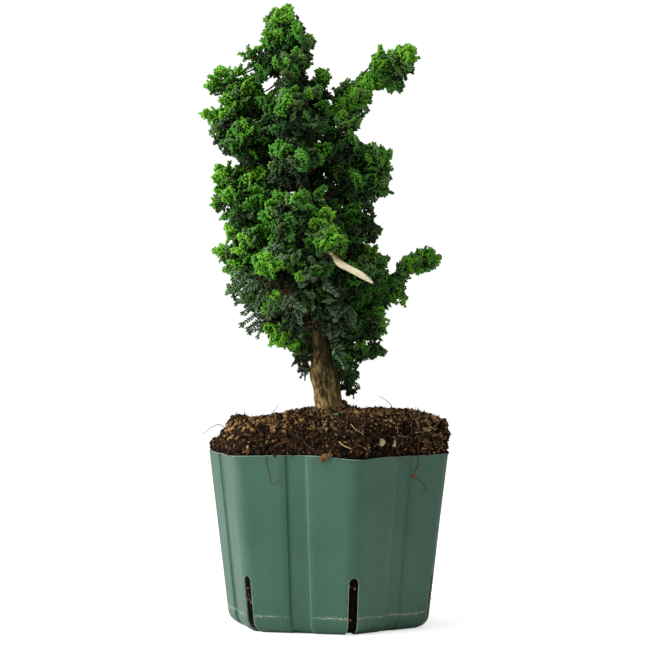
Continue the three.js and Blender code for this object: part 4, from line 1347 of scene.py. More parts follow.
                bmesh.ops.create_icosphere(rock, subdivisions=3, radius=1)
                shell = np.array([vertex.co for vertex in rock.verts])
                faces += [tuple(v.index + len(points) for v in face.verts) for face in rock.faces]
                rock.free()
                shell *= 1 + 0.3 * rough_noise(shell * 1.3 + draw.uniform(0, 50, 3), 3)[:, None]
                points += list(self._face(x, z) + shell * [half, min(half, tall), tall])
            piece = link(name, make_mesh(name, np.array(points), faces))
            piece.data.materials.append(finish.material())
            settle(piece, "potting_soil")

    def build(self) -> None:
        """Makes the soil, what lies in it, and its fine roots."""
        points, faces, bed, in_slot = self._surface()
        mesh = make_mesh("potting_soil", points, faces)
        # The open share sets where the peat is painted near black as shade: below the brim and in the slots.
        store(mesh, "open", bed)
        dark = (colour(34, 24, 17), colour(16, 12, 9), colour(72, 50, 33))
        mesh.materials.append(SoilFinish("peat", 1.0, 0.1, *dark, shaded_where_hidden=True).material())
        settle(link("potting_soil", mesh), "potting_soil", "root_ball")
        for kind in self.kinds():
            self._strew(kind, points, faces, np.maximum(bed, in_slot * kind.in_slots))
        self._roots()
        self._stones()


# ---------------------------------------------------------------------------------------
# Trunk, boughs and the cut stub
# ---------------------------------------------------------------------------------------


@dataclass
class Wood:
    """A limb's skin with relief, and what its material reads from it."""

    strip: float = 2.4  # width of a strip of bark
    strip_length: float = 24
    depth: float = 0.55
    seed: int = 11

    def grain_at(self, path: np.ndarray, radii: np.ndarray, columns: int) -> np.ndarray:
        """A place in the bark's own space for each point of a tube: round it, and along it."""
        angles = np.arange(columns) * 2 * np.pi / columns
        along = path_lengths(path)
        twist = angles[None] + 0.3 * np.sin(along / 31)[:, None]
        around = radii[:, None] / self.strip
        height = np.broadcast_to(along[:, None] / self.strip, twist.shape)
        return np.stack([np.cos(twist) * around, np.sin(twist) * around, height], axis=-1)

    def relief(self, grain: np.ndarray) -> tuple[np.ndarray, np.ndarray]:
        """How far the bark stands out at each point of a tube, and how deep in a groove it is."""
        flat = grain.reshape(-1, 3).copy()
        flat[:, 2] *= self.strip / self.strip_length
        flat += 0.45 * np.stack([lattice_noise(flat * 1.4, self.seed + i) for i in range(3)], axis=-1)
        strips = rough_noise(flat, self.seed, 2)
        groove = 1 - smooth_step(0.0, 0.3, np.abs(strips))
        fine = rough_noise(flat * [3, 3, 2.2], self.seed + 9, 2)
        height = self.depth * (0.7 - 1.1 * groove + 0.35 * fine)
        return height.reshape(grain.shape[:2]), groove.reshape(grain.shape[:2])

    def clothe(
        self, path: np.ndarray, radii: np.ndarray, columns: int,
        share: Value = 1.0, reach: np.ndarray | None = None,
    ) -> dict:
        """A tube with relief along a path.

        Args:
            path: The middle line.
            radii: A radius for each of its points.
            columns: How many sides the tube has.
            share: How much of the relief shows at each point.
            reach: A radius for each column of each ring, in place of radii.

        Returns:
            Points, faces, and the stored values grain and groove.
        """
        grain = self.grain_at(path, radii, columns)
        height, groove = self.relief(grain)
        base = np.repeat(radii[:, None], columns, axis=1) if reach is None else reach
        share = np.broadcast_to(np.asarray(share, float), radii.shape)[:, None]
        points, faces = loft(tube_rings(path, base + height * share))
        ends = np.vstack([grain[0].mean(axis=0), grain[-1].mean(axis=0)])
        grooves = np.concatenate([(groove * share).ravel(), [0, 0]])
        fibres = np.vstack([grain.reshape(-1, 3), ends])
        return {"points": points, "faces": faces, "grain": fibres, "groove": grooves}


def joined_piece(name: str, parts: list[dict], material: bpy.types.Material) -> bpy.types.Object:
    """Several clothed parts as one piece, with all the values that they store."""
    points = np.vstack([part["points"] for part in parts])
    faces, first = [], 0
    for part in parts:
        faces += [tuple(corner + first for corner in face) for face in part["faces"]]
        first += len(part["points"])
    mesh = make_mesh(name, points, faces)
    for key in [key for key in parts[0] if key not in ("points", "faces")]:
        store(mesh, key, np.concatenate([np.asarray(part[key], float) for part in parts]))
    mesh.materials.append(material)
    return link(name, mesh)


@dataclass
class Trunk:
    """The trunk: its middle line and radius, its root flare and its bark, with painted shade under the crown.
    """

    stations: tuple = (
        ((0.7, 0, 163.6), 9.6),
        ((-0.8, -0.5, 181), 10.1),
        ((-2.6, -0.5, 192), 9.2),
        ((-4.4, 0.5, 206), 7.4),
        ((-8, 2, 240), 6.2),
        ((-12, 2, 280), 5.2),
        ((-17, -1, 320), 4.2),
        ((-23, 0, 360), 3.2),
        ((-28.5, 1, 400), 2.1),
        ((-31, 0, 422), 1.3),
    )
    flare: float = 0.05
    flare_height: float = 5
    buttresses: int = 3
    buttress: float = 0.5
    # Knobs and dark knots of the bark: bearing from +X, height, and how far each stands out or is dark.
    knobs: tuple = ((-16, 164, 2.6, 22, 2.6), (184, 187, 1.7, 26, 6.0))
    knots: tuple = (
        (-104, 207, 0.8, 9, 2.2),
        (-117, 186.5, 1.3, 11, 2.8),
        (-112, 181, 1.3, 10, 2.0),
        (-110, 173.5, 1.3, 7, 3.2),
    )
    rows: int = 230
    columns: int = 76
    sunk: float = 4.6  # how far its foot reaches into the soil
    algae_side: float = -20  # bearing of the side with algae, from +X
    shaded_side: float = -35  # bearing of the side with painted shade, which darkens upward

    def at(self, height: float) -> tuple[np.ndarray, float]:
        """The middle and radius at a height."""
        heights = [at[2] for at, _ in self.stations]
        middle = [np.interp(height, heights, [at[i] for at, _ in self.stations]) for i in range(2)]
        return np.array([*middle, height]), float(np.interp(height, heights, [r for _, r in self.stations]))

    @property
    def top(self) -> float:
        """The height of its tip."""
        return self.stations[-1][0][2]

    @staticmethod
    def _spots(spots: tuple, angles: np.ndarray, heights: np.ndarray) -> np.ndarray:
        """The sum of some soft spots on the bark, for each row and column of its skin."""
        total = np.zeros((len(heights), len(angles)))
        for bearing, level, amount, wide, tall in spots:
            turned = np.abs((np.degrees(angles) - bearing + 180) % 360 - 180) / wide
            total += amount * np.exp(-(turned[None] ** 2) - ((heights[:, None] - level) / tall) ** 2)
        return total

    def build(self) -> bpy.types.Object:
        """Makes the trunk with its bark and dresses it."""
        foot = self.stations[0][0][2]
        line = spline([at for at, _ in self.stations], 400)
        heights = lerp(foot - self.sunk, self.top, np.linspace(0, 1, self.rows) ** 1.35)
        path = np.column_stack([np.interp(heights, line[:, 2], line[:, i]) for i in range(2)] + [heights])
        radii = np.array([self.at(max(z, foot))[1] for z in heights])
        angles = np.arange(self.columns) * 2 * np.pi / self.columns
        flare = self.flare * np.exp(-np.maximum(heights - foot, -self.sunk) / self.flare_height)
        lobes = 1 + self.buttress * np.cos(self.buttresses * angles)
        swell = 0.05 * rough_noise(np.column_stack([heights / 9, heights * 0, heights * 0]), 4)
        reach = radii[:, None] * (1 + flare[:, None] * lobes + swell[:, None])
        reach = reach + self._spots(self.knobs, angles, heights)
        wood = Wood(strip_length=15, depth=0.7)
        grain = wood.grain_at(path, radii, self.columns)
        height, groove = wood.relief(grain)
        dark = self._spots(self.knots, angles, heights)
        # Painted shade: the side towards +X and the front darkens above about 174 mm, and the whole trunk
        # darkens above about 190 mm, under the crown; both go into the stored groove value with the real
        # grooves and knots.
        painted_shade = smooth_step(0.15, 0.7, np.cos(angles - np.radians(self.shaded_side)))[None]
        painted_shade = 0.9 * painted_shade * smooth_step(174, 196, heights)[:, None]
        groove = np.clip(groove + dark + painted_shade + 0.45 * smooth_step(190, 212, heights)[:, None], 0, 1)
        thin = np.minimum(1, radii / 7)
        reach = reach + (height * 1.3 - dark * 0.5) * thin[:, None]
        around = np.stack([np.cos(angles), np.sin(angles), 0 * angles], axis=-1)
        rings = path[:, None] + around[None] * reach[:, :, None]
        points, faces = loft(rings)
        ends = np.vstack([grain[0].mean(axis=0), grain[-1].mean(axis=0)])
        side = np.cos(angles - np.radians(self.algae_side))
        algae = smooth_step(-0.2, 0.8, side)[None] * smooth_step(foot - 5, foot + 12, heights)[:, None]
        part = {"points": points, "faces": faces, "grain": np.vstack([grain.reshape(-1, 3), ends])}
        part["groove"] = np.concatenate([groove.ravel(), [0, 0]])
        part["algae"] = np.concatenate([algae.ravel(), [0, 0]])
        trunk = joined_piece("trunk_bark", [part], BarkFinish("trunk_bark", 0.92, 0.2).material())
        settle(trunk, "bark", "trunk")
        return trunk


@dataclass
class CutStub:
    """The pruned limb: peeled pale wood with a slanting cut, and torn bark at its foot."""

    path: tuple = (
        (-12, 0, 296),
        (-8, -34, 287),
        (2.5, -52, 277.5),
        (8, -56.5, 270.3),
        (20, -57.5, 263.6),
        (33.5, -58, 256.2),
    )
    root_radius: float = 3.4
    neck_radius: float = 1.5
    neck: float = 0.63  # share along it where it is thinnest
    tip_radius: float = 1.95
    cut_at: tuple[float, float, float] = (26, -58, 263.0)  # where the slanting cut leaves the upper side
    cut_faces: tuple[float, float, float] = (0.7, -0.25, 0.67)
    rows: int = 90
    columns: int = 26
    peeled_from: float = 0.59  # share along it where the bark ends
    fibres: int = 30
    seed: int = 23

    def line(self, count: int) -> np.ndarray:
        """Points along its middle."""
        return spline(self.path, count)

    def build(self) -> None:
        """Makes the stub and its torn fibres."""
        path = self.line(self.rows)
        shares = np.linspace(0, 1, self.rows)
        stops = [0, self.neck - 0.12, self.neck, self.neck + 0.08, 0.85, 1]
        sizes = [self.root_radius, 2.6, self.neck_radius, 2.5, 2.4, self.tip_radius]
        radii = np.interp(shares, stops, sizes)
        bark = smooth_step(self.peeled_from + 0.03, self.peeled_from - 0.03, shares)
        radii = radii + 0.1 * np.sin(shares * 37) * (1 - bark)
        wood = Wood(strip=1.3, strip_length=30, depth=0.3, seed=self.seed)
        part = wood.clothe(path, radii, self.columns, 0.25 + 0.75 * bark)
        rings = part["points"][:-2].reshape(self.rows, self.columns, 3)
        faces = unit(np.array(self.cut_faces))
        beyond = np.maximum((rings - np.array(self.cut_at)) @ faces, 0)
        rings -= beyond[..., None] * faces
        part["points"][:-2] = rings.reshape(-1, 3)
        part["points"][-1] = rings[-1].mean(axis=0)
        torn = np.repeat(bark, self.columns) + 0.25 * (np.repeat(shares, self.columns) > 0.985)
        part["torn"] = np.concatenate([torn, [1, 0.1]])
        finish = CutWoodFinish("cut_wood", 0.65, 0.35)
        settle(joined_piece("cut_stub_wood", [part], finish.material()), "cut_wood", "cut_stub")
        self._torn_fibres(path, radii)

    def _torn_fibres(self, path: np.ndarray, radii: np.ndarray) -> None:
        """Slivers of bark that stand off where the wood was peeled."""
        draw = np.random.default_rng(self.seed)
        side, over = carried_frames(path)
        lines = []
        for _ in range(self.fibres):
            at = int((self.peeled_from + draw.uniform(-0.05, 0.05)) * self.rows)
            turn = draw.uniform(0, 2 * np.pi)
            out = side[at] * np.cos(turn) + over[at] * np.sin(turn)
            start = path[at] + out * radii[at] * 0.9
            length = draw.uniform(2, 6)
            ahead = unit(path[at + 2] - path[at])
            bent = start + ahead * length * 0.6 + out * draw.uniform(0.2, 1.2)
            end = start + ahead * length + out * draw.uniform(0.3, 2.6)
            lines.append((spline([start - ahead, start, bent, end], 7), np.linspace(0.45, 0.12, 7)))
        finish = earth("torn_bark", 0.9, 0.2, (126, 86, 50), (88, 58, 36), (168, 124, 78))
        settle(strand_piece("torn_fibres", lines, finish.material(), 4), "bark")


# ---------------------------------------------------------------------------------------
# Sprays of scale leaves
# ---------------------------------------------------------------------------------------


class Tint(Enum):
    """The greens that are dealt out by spray, and the brown of dead ones. GLOOM and SHADE are painted shade,
    for growth deep in the crown.
    """

    GLOOM = colour(34, 44, 24)
    SHADE = colour(38, 60, 28)
    DEEP = colour(40, 84, 28)
    OLIVE = colour(68, 92, 42)
    SEA = colour(52, 76, 46)
    BLUE = colour(88, 118, 78)
    SAGE = colour(86, 126, 60)
    MID = colour(54, 112, 28)
    FRESH = colour(72, 138, 28)
    BRIGHT = colour(94, 160, 28)
    LIME = colour(112, 177, 40)
    DEAD = colour(74, 48, 26)


GREYED = {Tint.DEEP: Tint.SHADE, Tint.MID: Tint.OLIVE, Tint.FRESH: Tint.SAGE, Tint.BRIGHT: Tint.SAGE}


class Tone(Enum):
    """The tints that a mass wears, from its shaded inside to its newest tips."""

    NEW = (Tint.DEEP, Tint.MID, Tint.FRESH, Tint.BRIGHT, Tint.LIME, Tint.LIME)
    LIME = (Tint.DEEP, Tint.DEEP, Tint.MID, Tint.FRESH, Tint.BRIGHT, Tint.LIME)
    GREEN = (Tint.SHADE, Tint.DEEP, Tint.MID, Tint.FRESH, Tint.BRIGHT, Tint.LIME)
    DEEP = (Tint.GLOOM, Tint.SHADE, Tint.DEEP, Tint.MID, Tint.FRESH, Tint.BRIGHT)
    BLUE = (Tint.GLOOM, Tint.SHADE, Tint.SEA, Tint.BLUE, Tint.BLUE, Tint.FRESH)
    SERE = (Tint.SHADE, Tint.DEAD, Tint.DEAD, Tint.DEAD, Tint.DEEP, Tint.DEEP)


class Habit(Enum):
    """How a spray is built."""

    TUFTED = "tufted"
    PLUME = "plume"
    OLD = "old"


@dataclass(frozen=True)
class SprayPattern:
    """One small spray of short blunt shoots, its root at the origin and its tip along +X."""

    habit: Habit
    seed: int
    length: float = 12
    nodes: int = 3  # pairs of side branches
    widest: float = 0.62  # the longest side branch, as a share of the length
    angle: float = 52
    width: float = 3.2  # of a shoot
    thickness: float = 2.1
    cup: float = 0.16  # how far the spray is curled up at its edges
    ruffle: float = 0.34  # how far its shoots leave its plane, in radians

    def _shoot(self, start: np.ndarray, end: np.ndarray, width: float) -> tuple:
        """A closed three-sided shoot, widest past its middle, keeled above and flat below."""
        ahead = unit(end - start)
        side = unit(np.array([-ahead[1], ahead[0], 0]))
        over = np.cross(ahead, side)
        middle, rise = lerp(start, end, 0.62), self.thickness
        belly = [middle + side * width / 2 - over * rise * 0.35, middle + over * rise * 0.65]
        belly += [middle - side * width / 2 - over * rise * 0.35]
        faces = [(0, (i + 1) % 3 + 1, i + 1) for i in range(3)]
        faces += [(4, i + 1, (i + 1) % 3 + 1) for i in range(3)]
        return [start, *belly, end], faces

    @staticmethod
    def _way(turn: float, rise: float) -> np.ndarray:
        """A direction turned in the spray's plane, and raised out of it."""
        return np.array([np.cos(turn) * np.cos(rise), np.sin(turn) * np.cos(rise), np.sin(rise)])

    def _branch(
        self, spot: np.ndarray, turn: float, rise: float, reach: float,
        draw: Draw, lists: tuple[list, list],
    ) -> None:
        """A side branch: a short stalk that ends in two or three shoots.

        Args:
            spot: Where it leaves the axis.
            turn: Its angle in the plane of the spray.
            rise: Its angle out of that plane.
            reach: Its length.
            draw: The source of its chances.
            lists: The shoots inside the spray and those at its edge, which it adds to.
        """
        inner, outer = lists
        way = self._way(turn, rise)
        knee = spot + way * reach * 0.45
        inner.append((spot, knee, self.width * 0.75))
        outer.append((lerp(spot, knee, 0.8), spot + way * reach, self.width))
        swings = (0.75, -0.75) if self.habit is Habit.TUFTED else (0.6,)
        for swing in swings:
            lean, tip = turn + swing * draw.uniform(0.8, 1.2), rise + draw.normal(0, self.ruffle)
            length = max(3.8, reach * draw.uniform(0.6, 0.78))
            end = knee + self._way(lean, tip) * length
            outer.append((lerp(spot, knee, 0.75), end, self.width * 0.95))

    def _lines(self) -> tuple[list, list]:
        """The shoots inside the spray, and those round its edge, as start, end and width."""
        draw = np.random.default_rng(self.seed)
        inner, outer = lists = [], []
        plume = self.habit is Habit.PLUME
        count = self.nodes * (2 if plume else 1) + 1
        stops = np.linspace(0, 0.8, count)
        spots = [np.array([self.length * t, draw.normal(0, 0.25), draw.normal(0, 0.25)]) for t in stops]
        spots[0] = np.zeros(3)
        inner += [(a, b, self.width * 0.7) for a, b in zip(spots, spots[1:])]
        for i, (spot, t) in enumerate(zip(spots[1:], stops[1:])):
            for side in (-1, 1):
                swell = self.widest * (1.15 - t if plume else 1.1 - 0.7 * t)
                reach = self.length * swell * draw.uniform(0.85, 1.12)
                turn = np.radians(self.angle * (1.15 - 0.4 * t) + draw.uniform(-9, 9)) * side
                rise = draw.normal(0, self.ruffle * 0.6)
                if plume:
                    outer.append((spot, spot + self._way(turn, rise) * max(reach, 2.4), self.width * 0.85))
                else:
                    self._branch(spot, turn, rise, reach, draw, lists)
            if self.habit is Habit.TUFTED and i < 2:
                over = self._way(draw.normal(0, 0.3), 0.95)
                outer.append((spot, spot + over * self.length * 0.36, self.width))
                outer.append((spot, spot - over * [-1, 1, 1] * self.length * 0.3, self.width))
        for swing in (-0.55, 0, 0.55):
            way = self._way(swing + draw.uniform(-0.1, 0.1), draw.normal(0, self.ruffle * 0.7))
            reach = self.length * (0.28 if swing == 0 else 0.24)
            outer.append((spots[-1] * 0.96, spots[-1] * 0.96 + way * reach, self.width * 0.95))
        return inner, outer

    def meshes(self) -> tuple[bpy.types.Mesh, bpy.types.Mesh]:
        """The older inside and the newer edge of the spray, as two meshes."""
        made = []
        for part, lines in zip(("inside", "edge"), self._lines()):
            points, faces = [], []
            for start, end, width in lines:
                some, sides = self._shoot(np.asarray(start), np.asarray(end), width)
                faces += [tuple(corner + len(points) for corner in face) for face in sides]
                points += some
            points = np.array(points)
            away = points[:, 0] ** 2 * 0.5 + points[:, 1] ** 2
            points[:, 2] += self.cup * away / self.length
            made.append(make_mesh(f"spray_{part}", points, faces))
        return made[0], made[1]


PATTERNS = (
    SprayPattern(Habit.TUFTED, 1),
    SprayPattern(Habit.TUFTED, 2, cup=-0.1, angle=46),
    SprayPattern(Habit.TUFTED, 3, length=11, widest=0.7, cup=0.3),
    SprayPattern(Habit.TUFTED, 4, length=13, widest=0.55, angle=58, cup=0.05),
    SprayPattern(Habit.PLUME, 5, length=18, nodes=4, widest=0.32, width=2.0, cup=-0.12, ruffle=0.2),
    SprayPattern(Habit.PLUME, 7, length=20, nodes=5, widest=0.1, width=1.8, cup=0, ruffle=0.1),
    SprayPattern(Habit.OLD, 6, length=15, width=2.8, cup=0.1),
)
PLUME_KIND, SPIKE_KIND, OLD_KIND = 4, 5, 6


# ---------------------------------------------------------------------------------------
# Limbs, and the masses of foliage at their ends
# ---------------------------------------------------------------------------------------


@dataclass(frozen=True)
class Limb:
    """A limb: it leaves the trunk at a height, ends at a tip, and is clothed near it."""

    name: str
    leaves: float
    tip: tuple[float, float, float]
    foliage: float  # length of the clothed stretch
    spread: float  # half width of the mass
    tone: Tone = Tone.GREEN
    lift: float = 0.28  # share of its rise that it has gained half way out


LEADER_RISES = 422.5
LEADER = Limb("leader", 0, (-34, 0, 467), 60, 26, Tone.LIME)
LIMBS = (
    LEADER,
    Limb("neck_left", 406, (-64, -5, 435), 44, 16, Tone.LIME),
    Limb("neck_right", 405, (-7, 0, 434), 32, 17),
    Limb("neck_front", 396, (-28, -32, 428), 38, 20, Tone.DEEP),
    Limb("neck_back", 397, (-36, 34, 432), 39, 20),
    Limb("upper_left", 376, (-96, 5, 411), 64, 19, Tone.LIME),
    Limb("left", 345, (-97, -8, 379), 66, 26),
    Limb("left_back", 348, (-78, 42, 380), 57, 26),
    Limb("upper_front", 364, (-22, -52, 395), 50, 25, Tone.DEEP),
    Limb("upper_right_spur", 380, (0, 5, 419), 33, 15),
    Limb("upper_back", 367, (-21, 52, 404), 50, 26),
    Limb("arm_high_inner", 354, (38, 4, 415), 54, 14, lift=0.55),
    Limb("arm_high", 350, (68, -2, 435), 48, 19, Tone.NEW, 0.6),
    Limb("right_upper_front", 337, (27, -25, 379), 45, 20, Tone.DEEP),
    Limb("right", 315, (53, -5, 354), 60, 28),
    Limb("right_back", 307, (36, 48, 359), 54, 26),
    Limb("front_mid", 326, (-24, -56, 360), 50, 26, Tone.DEEP),
    Limb("back_mid", 326, (-27, 60, 366), 50, 28),
    Limb("left_mid", 300, (-91, -10, 336), 64, 27, Tone.LIME),
    Limb("left_mid_back", 294, (-76, 48, 328), 57, 26),
    Limb("front_centre", 292, (-30, -62, 319), 50, 25, Tone.DEEP),
    Limb("right_mid", 285, (41, -8, 312), 54, 22, Tone.DEEP),
    Limb("back_centre", 288, (-7, 64, 318), 52, 28, Tone.DEEP),
    Limb("left_low", 262, (-84, -18, 292), 66, 26),
    Limb("front_right", 268, (6, -62, 305), 50, 22),
    Limb("right_low", 251, (45, -14, 276), 54, 22, Tone.DEEP),
    Limb("back_low_right", 251, (30, 48, 273), 53, 26, Tone.DEEP),
    Limb("back_low_left", 251, (-50, 55, 273), 57, 28, Tone.DEEP),
    Limb("left_spur_low", 238, (-86, -5, 265), 66, 18),
    Limb("front_left_low", 244, (-45, -60, 278), 52, 22, Tone.BLUE),
    Limb("arm_low", 227, (88, 0, 281), 50, 12, Tone.LIME, 0.6),
    Limb("arm_low_inner", 224, (60, 4, 257), 44, 13, lift=0.45),
    Limb("droop_left", 234, (-64, -12, 231), 56, 20, Tone.BLUE),
    Limb("front_low", 230, (-22, -56, 239), 47, 22, Tone.BLUE),
    Limb("front_right_low", 228, (14, -52, 243), 47, 21, Tone.BLUE),
    Limb("right_skirt", 214, (50, -5, 236), 50, 18, Tone.DEEP),
    Limb("back_skirt", 221, (-2, 55, 232), 50, 26, Tone.BLUE),
    Limb("left_skirt", 214, (-46, -18, 212), 44, 15),
    Limb("right_base", 202, (46, -5, 204), 42, 15),
    Limb("right_foot", 192, (29, 6, 176), 33, 13, Tone.BLUE),
    Limb("left_foot", 204, (-26, -6, 188), 30, 11, Tone.BLUE),
    Limb("back_foot", 198, (2, 40, 206), 35, 18, Tone.BLUE),
)


@dataclass(frozen=True)
class BoughRule:
    """How thick a limb is, and which limbs have a bare bough."""

    shortest: float = 16
    enters: float = 0.2
    slimness: float = 0.018
    least_radius: float = 0.9
    root_share: float = 0.5
    swell: float = 1.9
    stem_tip: float = 0.6
    stoutest: float = 0.8
    gap: float = 0.3


class Mass:
    """A limb worked out: its line and radii, and the shape and cell of its foliage."""

    def __init__(self, limb: Limb, trunk: Trunk, rule: BoughRule) -> None:
        """Works out a limb.

        Args:
            limb: Its row.
            trunk: The trunk that it leaves.
            rule: How limbs are proportioned.
        """
        self.limb = limb
        tip = np.array(limb.tip, float)
        if limb.leaves:
            root, root_radius = trunk.at(limb.leaves)
            bend = lerp(root, tip, 0.5)
            bend[2] = lerp(root[2], tip[2], limb.lift)
        else:
            root, root_radius = trunk.at(trunk.top)
            root[2] = LEADER_RISES
            bend = lerp(root, tip, 0.5)
        t = np.linspace(0, 1, 81)[:, None]
        self.line = resample(root * (1 - t) ** 2 + bend * 2 * t * (1 - t) + tip * t**2, np.linspace(0, 1, 81))
        length = path_lengths(self.line)[-1]
        self.start = max(0, 1 - limb.foliage / length)
        origin = resample(self.line, [self.start])[0]
        self.centre = lerp(origin, tip, 0.5)
        self.axis = unit(tip - origin)
        self.half = max(np.linalg.norm(tip - origin) / 2, limb.spread * rule.stoutest)
        self.tip_radius = max(rule.least_radius, rule.slimness * length)
        self.root_radius = min(self.tip_radius * rule.swell, root_radius * rule.root_share)
        self.enters = self.start + rule.enters * limb.foliage / length
        self.has_bough = bool(self.start * length - root_radius > rule.shortest)
        spread = limb.spread**2
        self.matrix = spread * np.eye(3) + (self.half**2 - spread) * np.outer(self.axis, self.axis)
        self.walls: list[tuple[np.ndarray, float]] = []

    @property
    def area(self) -> float:
        """The rough area of its skin."""
        spread = self.limb.spread
        return 4 * np.pi * spread * (self.half * 0.6 + spread * 0.4)

    def radius(self, direction: np.ndarray) -> float:
        """The radius of its shape along a direction."""
        along = direction @ self.axis
        across = max(0, 1 - along * along)
        return 1 / np.sqrt((along / self.half) ** 2 + across / self.limb.spread**2)

    def wall_towards(self, other: "Mass", gap: float) -> tuple[np.ndarray, float]:
        """The plane that parts it from another mass, as a normal and a distance."""
        apart = other.centre - self.centre
        normal = unit(np.linalg.inv(self.matrix + other.matrix) @ apart)
        own, theirs = (np.sqrt(normal @ m @ normal) for m in (self.matrix, other.matrix))
        share = own / (own + theirs)
        return normal, float(self.centre @ normal + share * (apart @ normal) - gap / 2)

    def cell_reach(self, direction: np.ndarray) -> float:
        """How far a ray from its centre can run inside its cell."""
        slopes = self.normals @ direction
        room = self.distances - self.normals @ self.centre
        ahead = slopes > 1e-6
        return float(np.min(room[ahead] / slopes[ahead])) if ahead.any() else np.inf

    def outside(self, points: np.ndarray) -> float:
        """How far the worst of some points is past the walls of its cell."""
        return float(np.max(points @ self.normals.T - self.distances))

    def settle_cell(self, others: list["Mass"], gap: float) -> None:
        """Finds its walls among all the masses."""
        walls = [self.wall_towards(other, gap) for other in others if other is not self]
        self.normals = np.array([normal for normal, _ in walls])
        self.distances = np.array([distance for _, distance in walls])


@dataclass
class Spray:
    """A spray that has its place: its kind, root, turn, size and tints."""

    kind: int
    root: np.ndarray
    turn: np.ndarray
    size: float
    inside: Tint
    edge: Tint


@dataclass(frozen=True)
class Ring:
    """One whorl of sprays on a lobe's twig."""

    down: float  # how far below the tip it stands
    count: int
    lean: tuple[float, float]  # degrees from the twig
    level: float  # how much newer it is than the lobe
    size: float


@dataclass(frozen=True)
class Opening:
    """A place where the sky, or the shaded inside, shows from the front."""

    x: float
    z: float
    radius: float
    before: float = 999.0  # only growth nearer the front than this is left out


OPENINGS = tuple(Opening(*row) for row in (
    (-41, 410, 2.8), (-36.5, 411, 2.0), (-43.5, 403, 2.4), (-46, 466, 3.0), (-53, 457, 3.6),
    (-57, 447.5, 4.6), (-25, 465.5, 2.8), (-26, 463.5, 1.8), (-53, 439, 2.6), (-63.5, 435.5, 2.8),
    (-16, 456, 3.4), (-100.5, 403, 4.0), (-92, 355, 7.0), (-70, 349.5, 2.2), (-85, 299, 4.5),
    (-84, 291, 4.0), (-55, 359, 2.4), (-2, 326, 0.6), (8.5, 331, 1.0), (-75, 312, 2.2),
    (-76, 350, 2.0), (-88, 394, 5.5), (-94, 368, 4.0), (-84, 351, 2.2), (-91, 330, 4.5),
    (-10, 446, 4.8), (-6, 424, 4.8), (-13, 413.5, 3.0), (6, 409, 3.6), (26, 367, 3.0), (38, 371, 2.6),
    (60, 333, 8.0), (53.5, 349, 4.6), (53, 325, 3.5), (57, 345, 4.5), (54, 355, 4.0), (42, 318, 3.5),
    (48, 298, 3.6), (39.5, 309, 3.2), (35, 437, 3.0), (56, 439, 3.4), (66, 436.5, 3.8), (70, 418, 4.2),
    (72, 412, 4.5), (67, 404, 4.0), (37, 397, 2.4), (32, 383.5, 2.2), (76, 286, 3.0), (61, 284, 3.5),
    (89.5, 279.5, 3.6), (92, 271, 4.2), (81, 260, 3.0), (48, 266.5, 2.6), (67, 259, 3.0),
    (29.5, 191.5, 5.0), (-32, 203, 4.0), (-26, 187, 3.0), (-80, 254, 3.0), (-86.5, 263.5, 3.0),
    (54, 232, 2.0), (20, 298, 9.0, -20), (11, 312, 5.0, -26), (-9, 386, 5.5, -24),
    (-13, 362, 5.5, -30), (-9, 334, 6.0, -22), (-66, 332, 4.5, -14), (-28, 327, 5.0, -36),
    (20, 244, 8.0, -26), (-31, 259, 5.5, -52),
))


@dataclass(frozen=True)
class Cluster:
    """A lobe that stands on its own: where its tip is, which way it looks, and its size."""

    tip: tuple[float, float, float]
    out: tuple[float, float, float]
    scale: float = 0.6
    level: float = 3.2
    tone: Tone = Tone.GREEN


